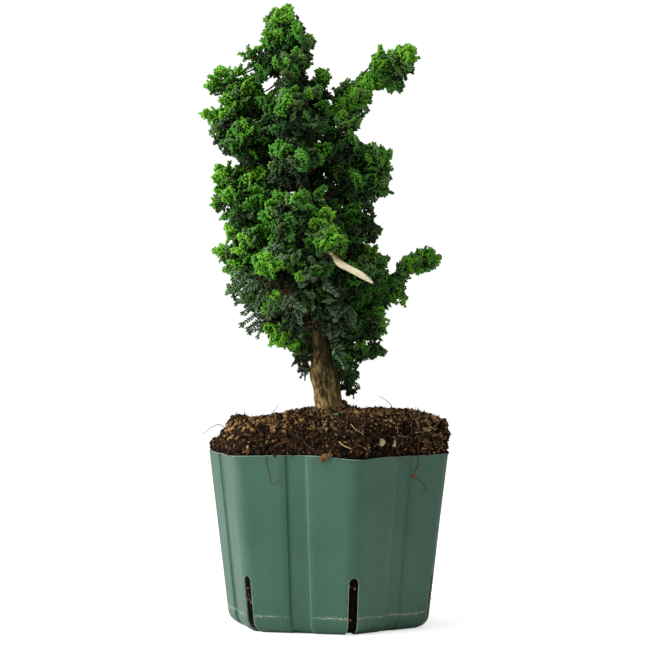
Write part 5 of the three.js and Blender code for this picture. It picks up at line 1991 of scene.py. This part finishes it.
CLUSTERS = tuple(Cluster(*row) for row in (
    ((-2, 30, 322), (-0.2, 0.2, 0.9), 0.8, 0.8, Tone.DEEP),
    ((2, -24, 318), (0.1, -0.6, 0.8), 0.75, 1.2, Tone.DEEP),
    ((-6, 10, 329), (0, -0.3, 1), 0.6, 1.0, Tone.DEEP),
    ((-2, 12, 333), (0.2, 0.3, 1), 0.7, 1.0, Tone.DEEP),
    ((0, 8, 393), (0.2, -0.2, 0.9), 0.7, 1.4, Tone.DEEP),
    ((-5, -66, 284), (-0.1, -0.7, 0.1), 0.6, 2.4), ((3, -64, 283), (0.5, -0.5, 0.4), 0.5, 2.6),
    ((-12, -8, 433), (0.8, -0.2, 0.3), 0.75, 1.6, Tone.DEEP),
    ((-10, 4, 436), (1, 0.1, 0.2), 0.6, 1.8, Tone.DEEP),
    ((-13, 2, 424), (0.8, 0, -0.3), 0.55, 1.2, Tone.DEEP),
    ((-8, -62, 268), (0.1, -0.8, 0.2), 0.8, 1.8, Tone.DEEP),
    ((-1, -52, 262), (0.3, -0.8, -0.2), 0.7, 1.4, Tone.DEEP),
    ((-17, -64, 258), (-0.1, -0.8, -0.1), 0.75, 2.0, Tone.BLUE),
    ((-30, -60, 250), (0, -0.8, -0.3), 0.6, 2.2, Tone.SERE),
    ((-38, -58, 254), (-0.3, -0.8, 0), 0.5, 2.2, Tone.SERE),
    ((-24, -62, 272), (0, -0.8, 0.2), 0.8, 1.9), ((-34, 0, 465), (-0.05, 0, 1), 0.75, 3.8, Tone.LIME),
    ((-39, 0, 457), (-0.3, -0.2, 1), 0.6, 3.6, Tone.LIME), ((-52, 0, 437), (-0.5, -0.2, 0.8), 0.5),
    ((-59, 0, 430), (-0.8, -0.2, 0.4), 0.5, 3.6), ((-52, 2, 406), (-0.2, -0.3, 0.9), 0.7, 2.6),
    ((-57, 0, 398), (-0.2, -0.5, 0.7), 0.7, 2.4), ((-33, 4, 405), (0, -0.4, 0.8), 0.6, 2.2),
    ((-86, 2, 415), (-0.6, 0, 0.8), 0.62, 3.2), ((-80, 2, 419), (-0.4, 0, 0.9), 0.75, 3.4),
    ((-66, 2, 419), (0.1, 0, 1), 0.6), ((-56, 2, 414), (0, 0, 1), 0.6, 2.4),
    ((-93, 2, 403.5), (-1, 0, 0), 0.48, 3.4), ((-96, -4, 380), (-1, 0, 0), 0.75, 3.8, Tone.LIME),
    ((-86, -4, 385), (-0.8, -0.2, 0.6), 0.7, 3.4, Tone.LIME),
    ((-79, -4, 358), (-0.7, 0, -0.4), 0.65, 2.6), ((-82, -4, 343), (-0.6, -0.1, 0.7), 0.8, 3.2),
    ((-85, -6, 324), (-0.9, 0, 0), 0.65, 3.0), ((-87, -6, 311.5), (-0.8, 0, -0.6), 0.55),
    ((-44, -8, 398), (0, -0.5, 0.6), 0.8, 2.2),
    ((-6.5, -4, 416), (0, -0.2, 0.9), 0.55, 4.2, Tone.LIME), ((14, 2, 409), (0.3, 0, 0.9), 0.65, 2.6),
    ((37, 0, 429), (-0.1, 0, 1), 0.5, 2.6), ((41, 0, 358), (0.3, 0, 0.9), 0.5, 2.4),
    ((32, 0, 391), (0.7, 0, -0.5), 0.6, 1.0, Tone.DEEP), ((26, 0, 378), (0.9, 0, 0.1), 0.65),
    ((33, -2, 317), (0.8, 0, 0.5), 0.75, 1.6, Tone.DEEP),
    ((26, 12, 287), (0.4, -0.6, 0.6), 0.85, 1.0, Tone.DEEP), ((38, -6, 281), (0.7, 0, 0.6), 0.75),
    ((44, 0, 273.5), (0.9, 0, 0.1), 0.6, 2.6, Tone.DEEP), ((60, 0, 244), (1, 0, -0.1), 0.55, 3.6),
    ((54, -2, 262), (0.2, -0.6, 0.6), 0.55, 1.8, Tone.DEEP),
    ((50, -3, 257), (0, -0.7, 0.4), 0.6, 1.6, Tone.DEEP), ((57, 0, 255), (0.6, 0, 0.2), 0.6, 2.0),
    ((45, -4, 230), (0.9, 0, 0.1), 0.7, 3.0), ((45, -4, 222), (0.9, 0, 0), 0.6, 2.6),
    ((41.5, -4, 203.5), (0.9, 0, -0.3), 0.65, 2.2, Tone.DEEP), ((-84, -10, 279), (-1, 0, 0.2), 0.6),
    ((-77.5, -10, 266), (-1, 0, -0.2), 0.45), ((-75, -10, 249), (-1, 0, -0.3), 0.5, 2.6),
    ((-45, -30, 215), (-0.6, -0.4, -0.2), 0.75, 4.4, Tone.LIME),
    ((4, 8, 366), (0.2, -0.4, 0.8), 0.75, 1.0, Tone.DEEP),
    ((9, 10, 373), (0.3, -0.3, 0.8), 0.7, 1.2, Tone.DEEP),
    ((-2, 6, 362), (0, -0.5, 0.8), 0.7, 0.8, Tone.DEEP),
    ((-31, -36, 214), (0, -0.7, 0.3), 0.75, 4.2, Tone.LIME),
    ((-16, -2, 188), (-0.3, 0, -0.8), 0.5, 1.6, Tone.BLUE),
    ((12, 4, 175), (0.2, -0.2, -0.8), 0.55, 1.0, Tone.DEEP),
    ((38, -4, 200), (0.5, -0.1, -0.8), 0.6, 1.6, Tone.DEEP),
    ((10, -12, 208), (0.5, -0.8, -0.2), 0.7, 1.6, Tone.BLUE),
    ((12, -10, 196), (0.5, -0.8, -0.3), 0.7, 1.4, Tone.DEEP),
    ((14, -7, 187), (0.5, -0.6, -0.5), 0.65, 1.4, Tone.DEEP),
    ((18, -4, 180.5), (0.4, -0.5, -0.7), 0.6, 2.4),
    ((12, 8, 211), (0.5, -0.7, 0.1), 0.75, 0.8, Tone.DEEP),
    ((13, 8, 222), (0.4, -0.7, 0.3), 0.75, 0.8, Tone.DEEP),
    ((-12, 8, 210), (-0.5, -0.7, 0.1), 0.7, 0.6, Tone.DEEP),
    ((-20, -8, 206), (-0.6, -0.6, -0.3), 0.75, 1.2, Tone.BLUE),
    ((-76, -8, 262), (-0.8, -0.2, -0.2), 0.7, 2.4), ((64, -1, 277), (-0.1, 0, 1), 0.5, 2.8),
    ((76, -1, 280), (0, 0, 1), 0.5, 3.6), ((83, -1, 275.5), (0.6, 0, 0.6), 0.5, 4.0, Tone.LIME),
    ((79, -1, 267), (0.5, 0, -0.7), 0.55, 3.0), ((69, -1, 264), (0.1, 0, -1), 0.5, 2.4),
    ((-47, -66, 273), (-0.2, -0.8, 0.3), 0.75, 3.8, Tone.LIME),
    ((-42, -66, 264), (0, -0.8, -0.1), 0.65, 3.4), ((-35, -66, 270), (0, -0.8, 0.2), 0.65, 2.6),
    ((-22, -68, 259), (0.1, -0.8, 0), 0.5, 3.6),
    ((-39, -66, 243), (0, -0.8, -0.2), 0.42, 3.8, Tone.LIME),
    ((-45, -58, 235), (-0.3, -0.8, -0.2), 0.45, 3.4),
    ((-27, -10, 199), (-0.7, -0.2, -0.3), 0.4, 1.8, Tone.BLUE),
))

# Long sprays that hang low down: where each starts and ends.
PLUMES = (
    ((5, -56, 211), (15, -52, 192)), ((-4, -67, 255), (8, -70, 246)),
    ((-27, -68, 248), (-33, -72, 236)), ((-22, -66, 239), (-19, -70, 225)),
    ((-29, -68, 243), (-15, -72, 235)), ((-60, -50, 266), (-71, -46, 248)),
    ((-52, -58, 260), (-64, -54, 241)), ((-50, -60, 257), (-66, -56, 247)),
    ((-44, -62, 252), (-54, -60, 236)), ((-38, -64, 246), (-44, -62, 228)),
)
SPIKES = (
    ((-58, -50, 259), (-74, -44, 248)), ((-48, -34, 237), (-65, -36, 223)),
    ((-46, -34, 234), (-60, -36, 220)), ((-47, -34, 228), (-52, -36, 214)),
    ((-57, -34, 246), (-69, -36, 239)), ((-64, -30, 254), (-76, -30, 247)),
    ((-52, -40, 242), (-64, -42, 232)),
)


@dataclass
class Crown:
    """All the boughs, twigs and sprays of the plant."""

    trunk: Trunk
    stub: CutStub
    soil: RootBall
    rule: BoughRule = BoughRule()
    lobe_area: float = 640  # of a mass's skin for each lobe
    fewest: int = 5
    fewest_sprays: int = 4  # a lobe with room for fewer is left out
    least_open: float = 0.55  # a lobe is left out where its cell cuts off more than this
    least_tip: float = 0.84  # where lobes end, as a share of the mass's radius
    most_tip: float = 1.1
    rings: tuple = (
        Ring(0, 1, (0, 12), 1.2, 1.0),
        Ring(1.5, 4, (34, 58), 0.6, 0.95),
        Ring(6.5, 3, (56, 82), -0.6, 0.95),
        Ring(12.0, 2, (70, 100), -1.6, 0.9),
    )
    spray_length: float = 12.5
    forward: float = 0.3
    upward: float = 0.35
    clear: float = 1.2
    overlap: float = 3.0  # how far a spray may lean over a wall of its cell
    fill_share: float = 1.0  # sprays of old growth inside, in the dark tints of painted shade, for each lobe
    stem_shown: float = 0.8  # where a stem ends among its twigs, as a share of its limb
    sleeve_step: float = 3.4  # between the sprays along an arm
    most_faces: int = 160000  # in one piece
    bough_bark: tuple = (colour(74, 58, 38), colour(112, 92, 62))
    greyed: float = 0.38  # the share of sprays that are duller than their fellows
    jitter: float = 0.14  # of the way a lobe looks
    full_spread: float = 22  # half width of a mass whose lobes are of full size
    lobe_size: tuple[float, float] = (0.82, 1.08)
    spray_size: tuple[float, float] = (0.85, 1.12)
    plume_share: float = 0.65  # of the sprays in a lobe that droops
    fill_reach: tuple[float, float] = (0.5, 0.74)  # as shares of the radius of a mass
    fill_length: float = 16
    dead_share: float = 0.06  # of the old sprays low in the crown
    sleeve_size: tuple[float, float] = (0.6, 0.9)
    hanging_girth: float = 0.45
    anywhere: float = 99  # an overlap that no wall of a cell holds back
    above_soil: float = 2
    opening_margin: float = 1.2
    stub_margin: float = 4.2  # what stays clear of the stub's seen end, from the front
    bare_below: float = 216  # the trunk's front shows below this height
    bare_whole: float = 184  # and all across below this one
    outer_from: int = 40  # the part of a limb that a lobe of its own may start from
    hangs_from: tuple[int, int] = (24, 52)  # and a hanging spray
    seed: int = 101
    lines: list = field(default_factory=list)
    placed: list = field(default_factory=list)

    def __post_init__(self) -> None:
        """Works out the masses and what the sprays keep clear of."""
        self.masses = [Mass(limb, self.trunk, self.rule) for limb in LIMBS]
        for mass in self.masses:
            mass.settle_cell(self.masses, self.rule.gap)
        heights = np.linspace(self.trunk.stations[0][0][2], self.trunk.top, 60)
        trunk = np.array([[*middle, radius] for middle, radius in map(self.trunk.at, heights)])
        stub = np.column_stack([self.stub.line(24), np.full(24, self.stub.root_radius)])
        self.stub_seen = self.stub.line(60)[41:]
        self.solid = np.vstack([trunk, stub])

    def _blocked(self, points: np.ndarray) -> bool:
        """Whether any of some points touches wood or soil, or fills an opening or hides the stub."""
        gaps = np.linalg.norm(points[:, None] - self.solid[None, :, :3], axis=2) - self.solid[None, :, 3]
        if gaps.min() < self.clear:
            return True
        ground = self.soil.height_at(points[:, 0], points[:, 1])
        if (points[:, 2] < ground + self.above_soil).any():
            return True
        low = points[points[:, 2] < self.bare_below]
        if len(low):
            middle, radius = self.trunk.at(200)
            beside = low[:, 0] - middle[0]
            right = np.where(low[:, 2] > self.bare_whole, 0.35 * radius, radius + 1.5)
            if ((beside > -radius - 1.5) & (beside < right) & (low[:, 1] < 0)).any():
                return True
        for gap in OPENINGS:
            away = np.hypot(points[:, 0] - gap.x, points[:, 2] - gap.z)
            inside = away < gap.radius + self.opening_margin
            if (inside & (points[:, 1] < gap.before)).any():
                return True
        beside = np.linalg.norm(points[:, None, ::2] - self.stub_seen[None, :, ::2], axis=2)
        nearest = beside.argmin(axis=1)
        before = points[:, 1] < self.stub_seen[nearest, 1] + 3
        return bool(((beside.min(axis=1) < self.stub_margin) & before).any())

    def _tints(self, tone: Tone, level: float, draw: Draw) -> tuple[Tint, Tint]:
        """The tints of a spray's inside and edge at a level of its tone."""
        ladder = tone.value
        step = int(np.clip(np.floor(level), 0, len(ladder) - 2))
        inside, edge = ladder[max(step - 1, 0)], ladder[step + 1]
        if draw.random() < self.greyed * (0.5 if tone in (Tone.NEW, Tone.LIME) else 1):
            return GREYED.get(inside, inside), GREYED.get(edge, edge)
        return inside, edge

    def _set(
        self, mass: Mass, kind: int, root: np.ndarray, ahead: np.ndarray, face: np.ndarray,
        size: float, tints: tuple[Tint, Tint], overlap: float,
    ) -> bool:
        """Places a spray if there is room for it.

        Args:
            mass: The mass that it belongs to.
            kind: Its pattern.
            root: Where it starts.
            ahead: Which way it points.
            face: Roughly, which way its upper side looks.
            size: Its scale.
            tints: What its inside and its edge wear.
            overlap: How far it may lean over the walls of the cell.

        Returns:
            Whether it was placed.
        """
        side = unit(np.cross(face, ahead))
        face = np.cross(ahead, side)
        length = PATTERNS[kind].length * size
        reach = root + np.outer([0.5, 1], ahead) * length
        wings = root + ahead * length * 0.6 + np.outer([-1, 1], side) * length * 0.4
        points = np.vstack([reach, wings])
        if mass.outside(points) > overlap or self._blocked(points):
            return False
        turn = quaternion(np.column_stack([ahead, side, face]))
        self.placed.append(Spray(kind, root, turn, size, *tints))
        return True

    def _level(self, mass: Mass, direction: np.ndarray, spot: np.ndarray, draw: Draw) -> float:
        """How new the growth is at a place in a mass, with painted light: lighter where it faces up and out
        along its limb.
        """
        sunny = 0.45 * (direction @ mass.axis) + 0.85 * direction[2]
        patch = 0.7 * float(lattice_noise(spot[None] / 21, 3)[0])
        return 1.7 + 1.3 * (sunny + patch) + draw.normal(0, 0.3)

    def _lobe(self, mass: Mass, direction: np.ndarray, draw: Draw) -> None:
        """Grows one lobe of a mass, as far out as its cell has room for."""
        direction = unit(direction + draw.normal(0, self.jitter, 3))
        radius, room = mass.radius(direction), mass.cell_reach(direction)
        open_share = min(1, room / radius)
        if open_share < self.least_open:
            return
        wander = 0.13 * float(lattice_noise((mass.centre + direction * radius)[None] / 13, 8)[0])
        reach = min(radius * (draw.uniform(self.least_tip, self.most_tip) + wander), room)
        tone = mass.limb.tone
        outward = unit(direction + self.forward * mass.axis + self.upward * UP)
        droops = tone is Tone.BLUE and direction[2] < 0.35
        if droops:
            outward = unit(direction - 0.7 * UP)
        scale = min(1, mass.limb.spread / self.full_spread) * draw.uniform(*self.lobe_size)
        tip = mass.centre + direction * reach
        # A lobe that its cell cuts short lies between masses and takes darker tints: painted shade.
        level = self._level(mass, direction, tip, draw) - 2.0 * (1 - open_share)
        self._whorls(mass, tip, outward, scale, tone, level, droops, self.overlap, draw)

    def _whorls(
        self, mass: Mass, tip: np.ndarray, outward: np.ndarray, scale: float, tone: Tone,
        level: float, droops: bool, overlap: float, draw: Draw,
    ) -> None:
        """A twig with whorls of sprays round its end.

        Args:
            mass: The mass that it belongs to.
            tip: Where it ends.
            outward: Which way it looks.
            scale: Its size.
            tone: The tints of its sprays.
            level: How new its growth is, with painted light and shade in it.
            droops: Whether its sprays hang.
            overlap: How far its sprays may lean over the walls of the cell.
            draw: The source of its chances.
        """
        head = tip - outward * self.spray_length * scale
        over, across = square_to(outward)
        before, grown = len(self.placed), 0
        for ring in self.rings:
            turn = draw.uniform(0, 2 * np.pi)
            for i in range(ring.count):
                lean = np.radians(draw.uniform(*ring.lean))
                around = turn + 2 * np.pi * i / ring.count + draw.normal(0, 0.25)
                away = over * np.cos(around) + across * np.sin(around)
                ahead = unit(outward * np.cos(lean) + away * np.sin(lean) + (-0.25 if droops else 0.2) * UP)
                roll = draw.normal(0, 0.6)
                face = outward * np.sin(lean) - away * np.cos(lean)
                face = -face * np.cos(roll) + np.cross(ahead, face) * np.sin(roll)
                plume = droops and draw.random() < self.plume_share
                kind = PLUME_KIND if plume else int(draw.integers(0, PLUME_KIND))
                size = self.spray_length / 12 * scale * ring.size * draw.uniform(*self.spray_size)
                # Sprays that point up take lighter tints: painted light from above.
                here = level + ring.level + 0.7 * ahead[2] + draw.normal(0, 0.3)
                root = head - outward * ring.down * scale + ahead * draw.uniform(-0.5, 1.5)
                tints = self._tints(tone, here, draw)
                grown += self._set(mass, kind, root, ahead, face, size, tints, overlap)
        if grown < self.fewest_sprays:
            del self.placed[before:]
        else:
            self._twig(mass, head, outward, 0.95)

    def _nearest(self, spot: np.ndarray, first: int, last: int | None = None) -> Mass:
        """The mass whose limb, between two of its points, comes nearest to a spot."""
        return min(
            self.masses, key=lambda mass: np.linalg.norm(mass.line[first:last] - spot, axis=1).min()
        )

    def _cluster(self, cluster: Cluster, draw: Draw) -> None:
        """A lobe that stands on its own, on a twig from the nearest mass."""
        tip = np.array(cluster.tip, float)
        mass = self._nearest(tip, self.outer_from)
        outward = unit(np.array(cluster.out, float))
        self._whorls(
            mass, tip, outward, cluster.scale, cluster.tone, cluster.level, False, self.anywhere, draw
        )

    def _hanging(self, kind: int, root: np.ndarray, tip: np.ndarray) -> None:
        """A long spray between two points, on a twig from the nearest mass."""
        mass = self._nearest(root, *self.hangs_from)
        ahead, length = unit(tip - root), np.linalg.norm(tip - root)
        face = unit(np.array([0.0, -0.8, 0.6]))
        tints = (Tint.SEA, Tint.BLUE)
        size = length / PATTERNS[kind].length
        if self._set(mass, kind, root, ahead, face, size, tints, self.anywhere):
            self._twig(mass, root, ahead, self.hanging_girth, (0.3, 0.62))

    def _twig(
        self, mass: Mass, end: np.ndarray, outward: np.ndarray, girth: float,
        shares: tuple[float, float] | None = None,
    ) -> None:
        """A twig from the mass's stem to where its sprays start.

        Args:
            mass: The mass that it belongs to.
            end: Where its sprays start.
            outward: How it runs on past there.
            girth: Its radius at the stem.
            shares: The stretch of the stem that it may leave, in place of the usual one.
        """
        stem = resample(mass.line, np.linspace(*(shares or (min(mass.start, 0.6), self.stem_shown)), 24))
        gaps = np.linalg.norm(stem - end, axis=1)
        back = max(0, int(gaps.argmin()) - int(gaps.min() / 6))
        root = stem[back]
        t = np.linspace(0, 1, 6)[:, None]
        aside = unit((end - self.trunk.at(end[2])[0]) * [1, 1, 0])
        most = 16 if shares else 7
        bend = lerp(root, end, 0.6) - aside * min(most, 0.25 * np.linalg.norm(end - root))
        path = root * (1 - t) ** 2 + bend * 2 * t * (1 - t) + (end + outward) * t**2
        self.lines.append((path, np.linspace(girth, girth * 0.5, 6)))

    def _fill(self, mass: Mass, direction: np.ndarray, draw: Draw) -> None:
        """A spray of old growth inside a mass, in the dark tints of painted shade."""
        radius, room = mass.radius(direction), mass.cell_reach(direction)
        reach = min(radius * draw.uniform(*self.fill_reach), room * 0.97)
        tip = mass.centre + direction * reach
        outward = unit(direction + unit(draw.normal(0, 1, 3)) * 0.8)
        length = min(self.fill_length, reach)
        # GLOOM and SHADE: painted shade for the inside of the crown.
        tints = (Tint.GLOOM, Tint.SHADE)
        if mass.limb.tone is Tone.BLUE and draw.random() < self.dead_share:
            tints = (Tint.DEAD, Tint.DEAD)
        root = tip - outward * length
        face = unit(draw.normal(0, 1, 3))
        if self._set(mass, OLD_KIND, root, outward, face, length / 14, tints, self.overlap):
            self._twig(mass, root, outward, 0.7)

    def _sleeve(self, mass: Mass, draw: Draw) -> None:
        """Short sprays along the bough of an arm that stands out of the crown."""
        lengths = path_lengths(mass.line)
        stops = np.arange(lengths[-1] * 0.3, lengths[-1] - self.sleeve_step * 4, self.sleeve_step)
        over, across = square_to(mass.axis)
        for i, spot in enumerate(resample(mass.line, stops / lengths[-1])):
            for turn in np.arange(4) * np.pi / 2:
                around = turn + i * 2.4 + draw.normal(0, 0.3)
                away = over * np.cos(around) + across * np.sin(around)
                ahead = unit(away + 0.8 * mass.axis + 0.15 * UP)
                # Newer towards the tip, and lighter where it points up: painted light from above.
                here = 1.3 + 1.3 * ahead[2] + 1.2 * stops[i] / lengths[-1] + draw.normal(0, 0.4)
                tints = self._tints(mass.limb.tone, here, draw)
                kind, size = int(draw.integers(0, PLUME_KIND)), draw.uniform(*self.sleeve_size)
                root = spot + away * mass.tip_radius * 0.5
                self._set(mass, kind, root, ahead, mass.axis - away, size, tints, self.anywhere)

    def grow(self) -> None:
        """Grows every mass by its own seed."""
        for i, mass in enumerate(self.masses):
            draw = np.random.default_rng(self.seed + i)
            count = max(self.fewest, round(mass.area / self.lobe_area))
            for direction in fibonacci_directions(count, draw.uniform(0, 2 * np.pi)):
                self._lobe(mass, direction, draw)
            inside = round(count * self.fill_share)
            for direction in fibonacci_directions(inside, draw.uniform(0, 2 * np.pi)):
                self._fill(mass, direction, draw)
            if mass.limb.lift > 0.4:
                self._sleeve(mass, draw)
        draw = np.random.default_rng(self.seed)
        for cluster in CLUSTERS:
            self._cluster(cluster, draw)
        for kind, rows in ((PLUME_KIND, PLUMES), (SPIKE_KIND, SPIKES)):
            for root, tip in rows:
                self._hanging(kind, np.array(root, float), np.array(tip, float))
        log.info("crown: %d sprays on %d twigs", len(self.placed), len(self.lines))

    def _boughs(self) -> None:
        """Boughs, and the stems that run on into the masses, with their bark."""
        parts = []
        for mass in self.masses:
            shares = np.linspace(0, self.stem_shown, 36)
            path = resample(mass.line, shares)
            bare = np.clip(shares / max(mass.enters, 1e-3), 0, 1)
            tail = np.clip((shares - mass.enters) / (self.stem_shown - mass.enters), 0, 1)
            radii = lerp(mass.root_radius, mass.tip_radius, bare)
            radii = lerp(radii, self.rule.stem_tip, tail)
            part = Wood(strip=1.5, depth=0.25, seed=31).clothe(path, radii, 10, np.minimum(1, radii / 2))
            part["algae"] = 0.25 * np.ones(len(part["points"]))
            parts.append(part)
        boughs = [f"bough_{mass.limb.name}" for mass in self.masses if mass.has_bough]
        finish = BarkFinish("bough_bark", 0.9, 0.2, *self.bough_bark)
        piece = joined_piece("bough_bark", parts, finish.material())
        settle(piece, "bark", *boughs)

    def _deal(self, tint: Tint, shapes: bpy.types.Collection, nodes: list[str]) -> None:
        """All the parts of sprays that wear one tint, in pieces that stay small enough."""
        dealt = [(s, s.kind) for s in self.placed if s.inside is tint]
        dealt += [(s, s.kind + len(PATTERNS)) for s in self.placed if s.edge is tint]
        if not dealt:
            return
        sizes = [len(thing.data.polygons) for thing in sorted(shapes.objects, key=lambda thing: thing.name)]
        parts = int(np.ceil(sum(sizes[kind] for _, kind in dealt) / self.most_faces))
        dealt.sort(key=lambda pair: pair[0].root[2])
        finish = LeafFinish(f"leaves_{tint.name.lower()}", 0.55, 0.35, tint.value).material()
        for part in range(parts):
            some = dealt[part::parts] if parts > 1 else dealt
            name = f"leaves_{tint.name.lower()}" + (f"_{part + 1}" if parts > 1 else "")
            mesh = bpy.data.meshes.new(name)
            mesh.from_pydata([tuple(s.root * MM) for s, _ in some], [], [])
            store(mesh, "put_kind", np.array([kind for _, kind in some]))
            store(mesh, "put_turn", np.array([s.turn for s, _ in some]))
            store(mesh, "put_size", np.array([float(s.size) for s, _ in some]))
            values = {"Shapes": shapes, "Material": finish}
            settle(Growers.grow(link(name, mesh), Growers.dealt(), values, name), "foliage", *nodes)

    def build(self) -> None:
        """Makes the boughs, twigs and sprays."""
        self.grow()
        self._boughs()
        nodes = [f"foliage_{mass.limb.name}" for mass in self.masses]
        bark = BarkFinish("twig_bark", 0.9, 0.2, colour(56, 48, 30), colour(80, 72, 44)).material()
        settle(strand_piece("twigs", self.lines, bark, 5), "bark", *nodes)
        insides, edges = zip(*(pattern.meshes() for pattern in PATTERNS))
        shapes = shape_set("sprays", [*insides, *edges])
        for tint in Tint:
            self._deal(tint, shapes, nodes)
        drop_set(shapes)


def quaternion(matrix: np.ndarray) -> np.ndarray:
    """A turn as w, x, y, z from its matrix."""
    return np.array(Matrix(matrix.tolist()).to_quaternion())


# ---------------------------------------------------------------------------------------
# Studio
# ---------------------------------------------------------------------------------------


@dataclass
class Studio:
    """A plain pale floor, soft light from the upper left front, and the camera."""

    eye: tuple[float, float, float] = (-1.9, -1995, 224.7)
    lens: float = 147.3
    sensor: float = 36
    floor_size: float = 30000
    sky: float = 0.24

    def _light(self, name: str, at: tuple, aim: tuple, size: float, power: float) -> None:
        """A square soft light that faces a point."""
        data = bpy.data.lights.new(name, "AREA")
        data.size, data.energy = size * MM, power
        lamp = bpy.data.objects.new(name, data)
        lamp.location = Vector(at) * MM
        lamp.rotation_euler = (Vector(aim) - Vector(at)).to_track_quat("-Z", "Y").to_euler()
        bpy.context.scene.collection.objects.link(lamp)

    def build(self) -> None:
        """Makes the floor, the lights, the sky and the camera."""
        half = self.floor_size / 2
        corners = [(-half, -half, 0), (half, -half, 0), (half, half, 0), (-half, half, 0)]
        floor = link("studio_floor", make_mesh("studio_floor", np.array(corners, float), [(0, 1, 2, 3)]))
        floor.data.materials.append(FloorFinish("studio_floor", 0.9, 0.1).material())
        self._light("key_light", (-1500, -800, 1500), (0, 0, 260), 700, 38)
        self._light("top_light", (0, -200, 2300), (0, 0, 200), 1300, 18)
        self._light("left_card", (-1700, 250, 250), (0, 0, 120), 1300, 20)
        self._light("right_card", (1800, -200, 600), (0, 0, 200), 1300, 2.6)
        world = bpy.data.worlds.new("studio")
        world.use_nodes = True
        sketch = Sketch(world.node_tree)
        sky = world.node_tree.nodes["Background"]
        sky.inputs["Color"].default_value = (1, 1, 1, 1)
        seen = sketch.add("ShaderNodeLightPath").outputs["Is Camera Ray"]
        strength = sketch.maths("ADD", self.sky, sketch.maths("MULTIPLY", seen, 1.05 - self.sky))
        world.node_tree.links.new(strength, sky.inputs["Strength"])
        scene = bpy.context.scene
        scene.world = world
        scene.view_settings.view_transform = "Standard"
        data = bpy.data.cameras.new("camera")
        data.lens, data.sensor_width = self.lens, self.sensor
        data.clip_end = 100
        camera = bpy.data.objects.new("camera", data)
        camera.location = [x * MM for x in self.eye]
        camera.rotation_euler = (np.pi / 2, 0, 0)
        scene.collection.objects.link(camera)
        scene.camera = camera


# ---------------------------------------------------------------------------------------
# The whole part
# ---------------------------------------------------------------------------------------


def corners(bounds: tuple) -> list[list[float]]:
    """A box as plain lists of numbers."""
    return [[float(x) for x in corner] for corner in bounds]


def main() -> None:
    """Builds the potted plant round its frame, piece by piece."""
    logging.basicConfig(level=logging.INFO, format="%(name)s: %(message)s")
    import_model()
    Studio().build()
    shape = PotShape()
    Pot(shape).build()
    soil = RootBall(shape)
    soil.build()
    trunk, stub = Trunk(), CutStub()
    trunk.build()
    stub.build()
    Crown(trunk, stub, soil).build()


if __name__ == "__main__":
    main()
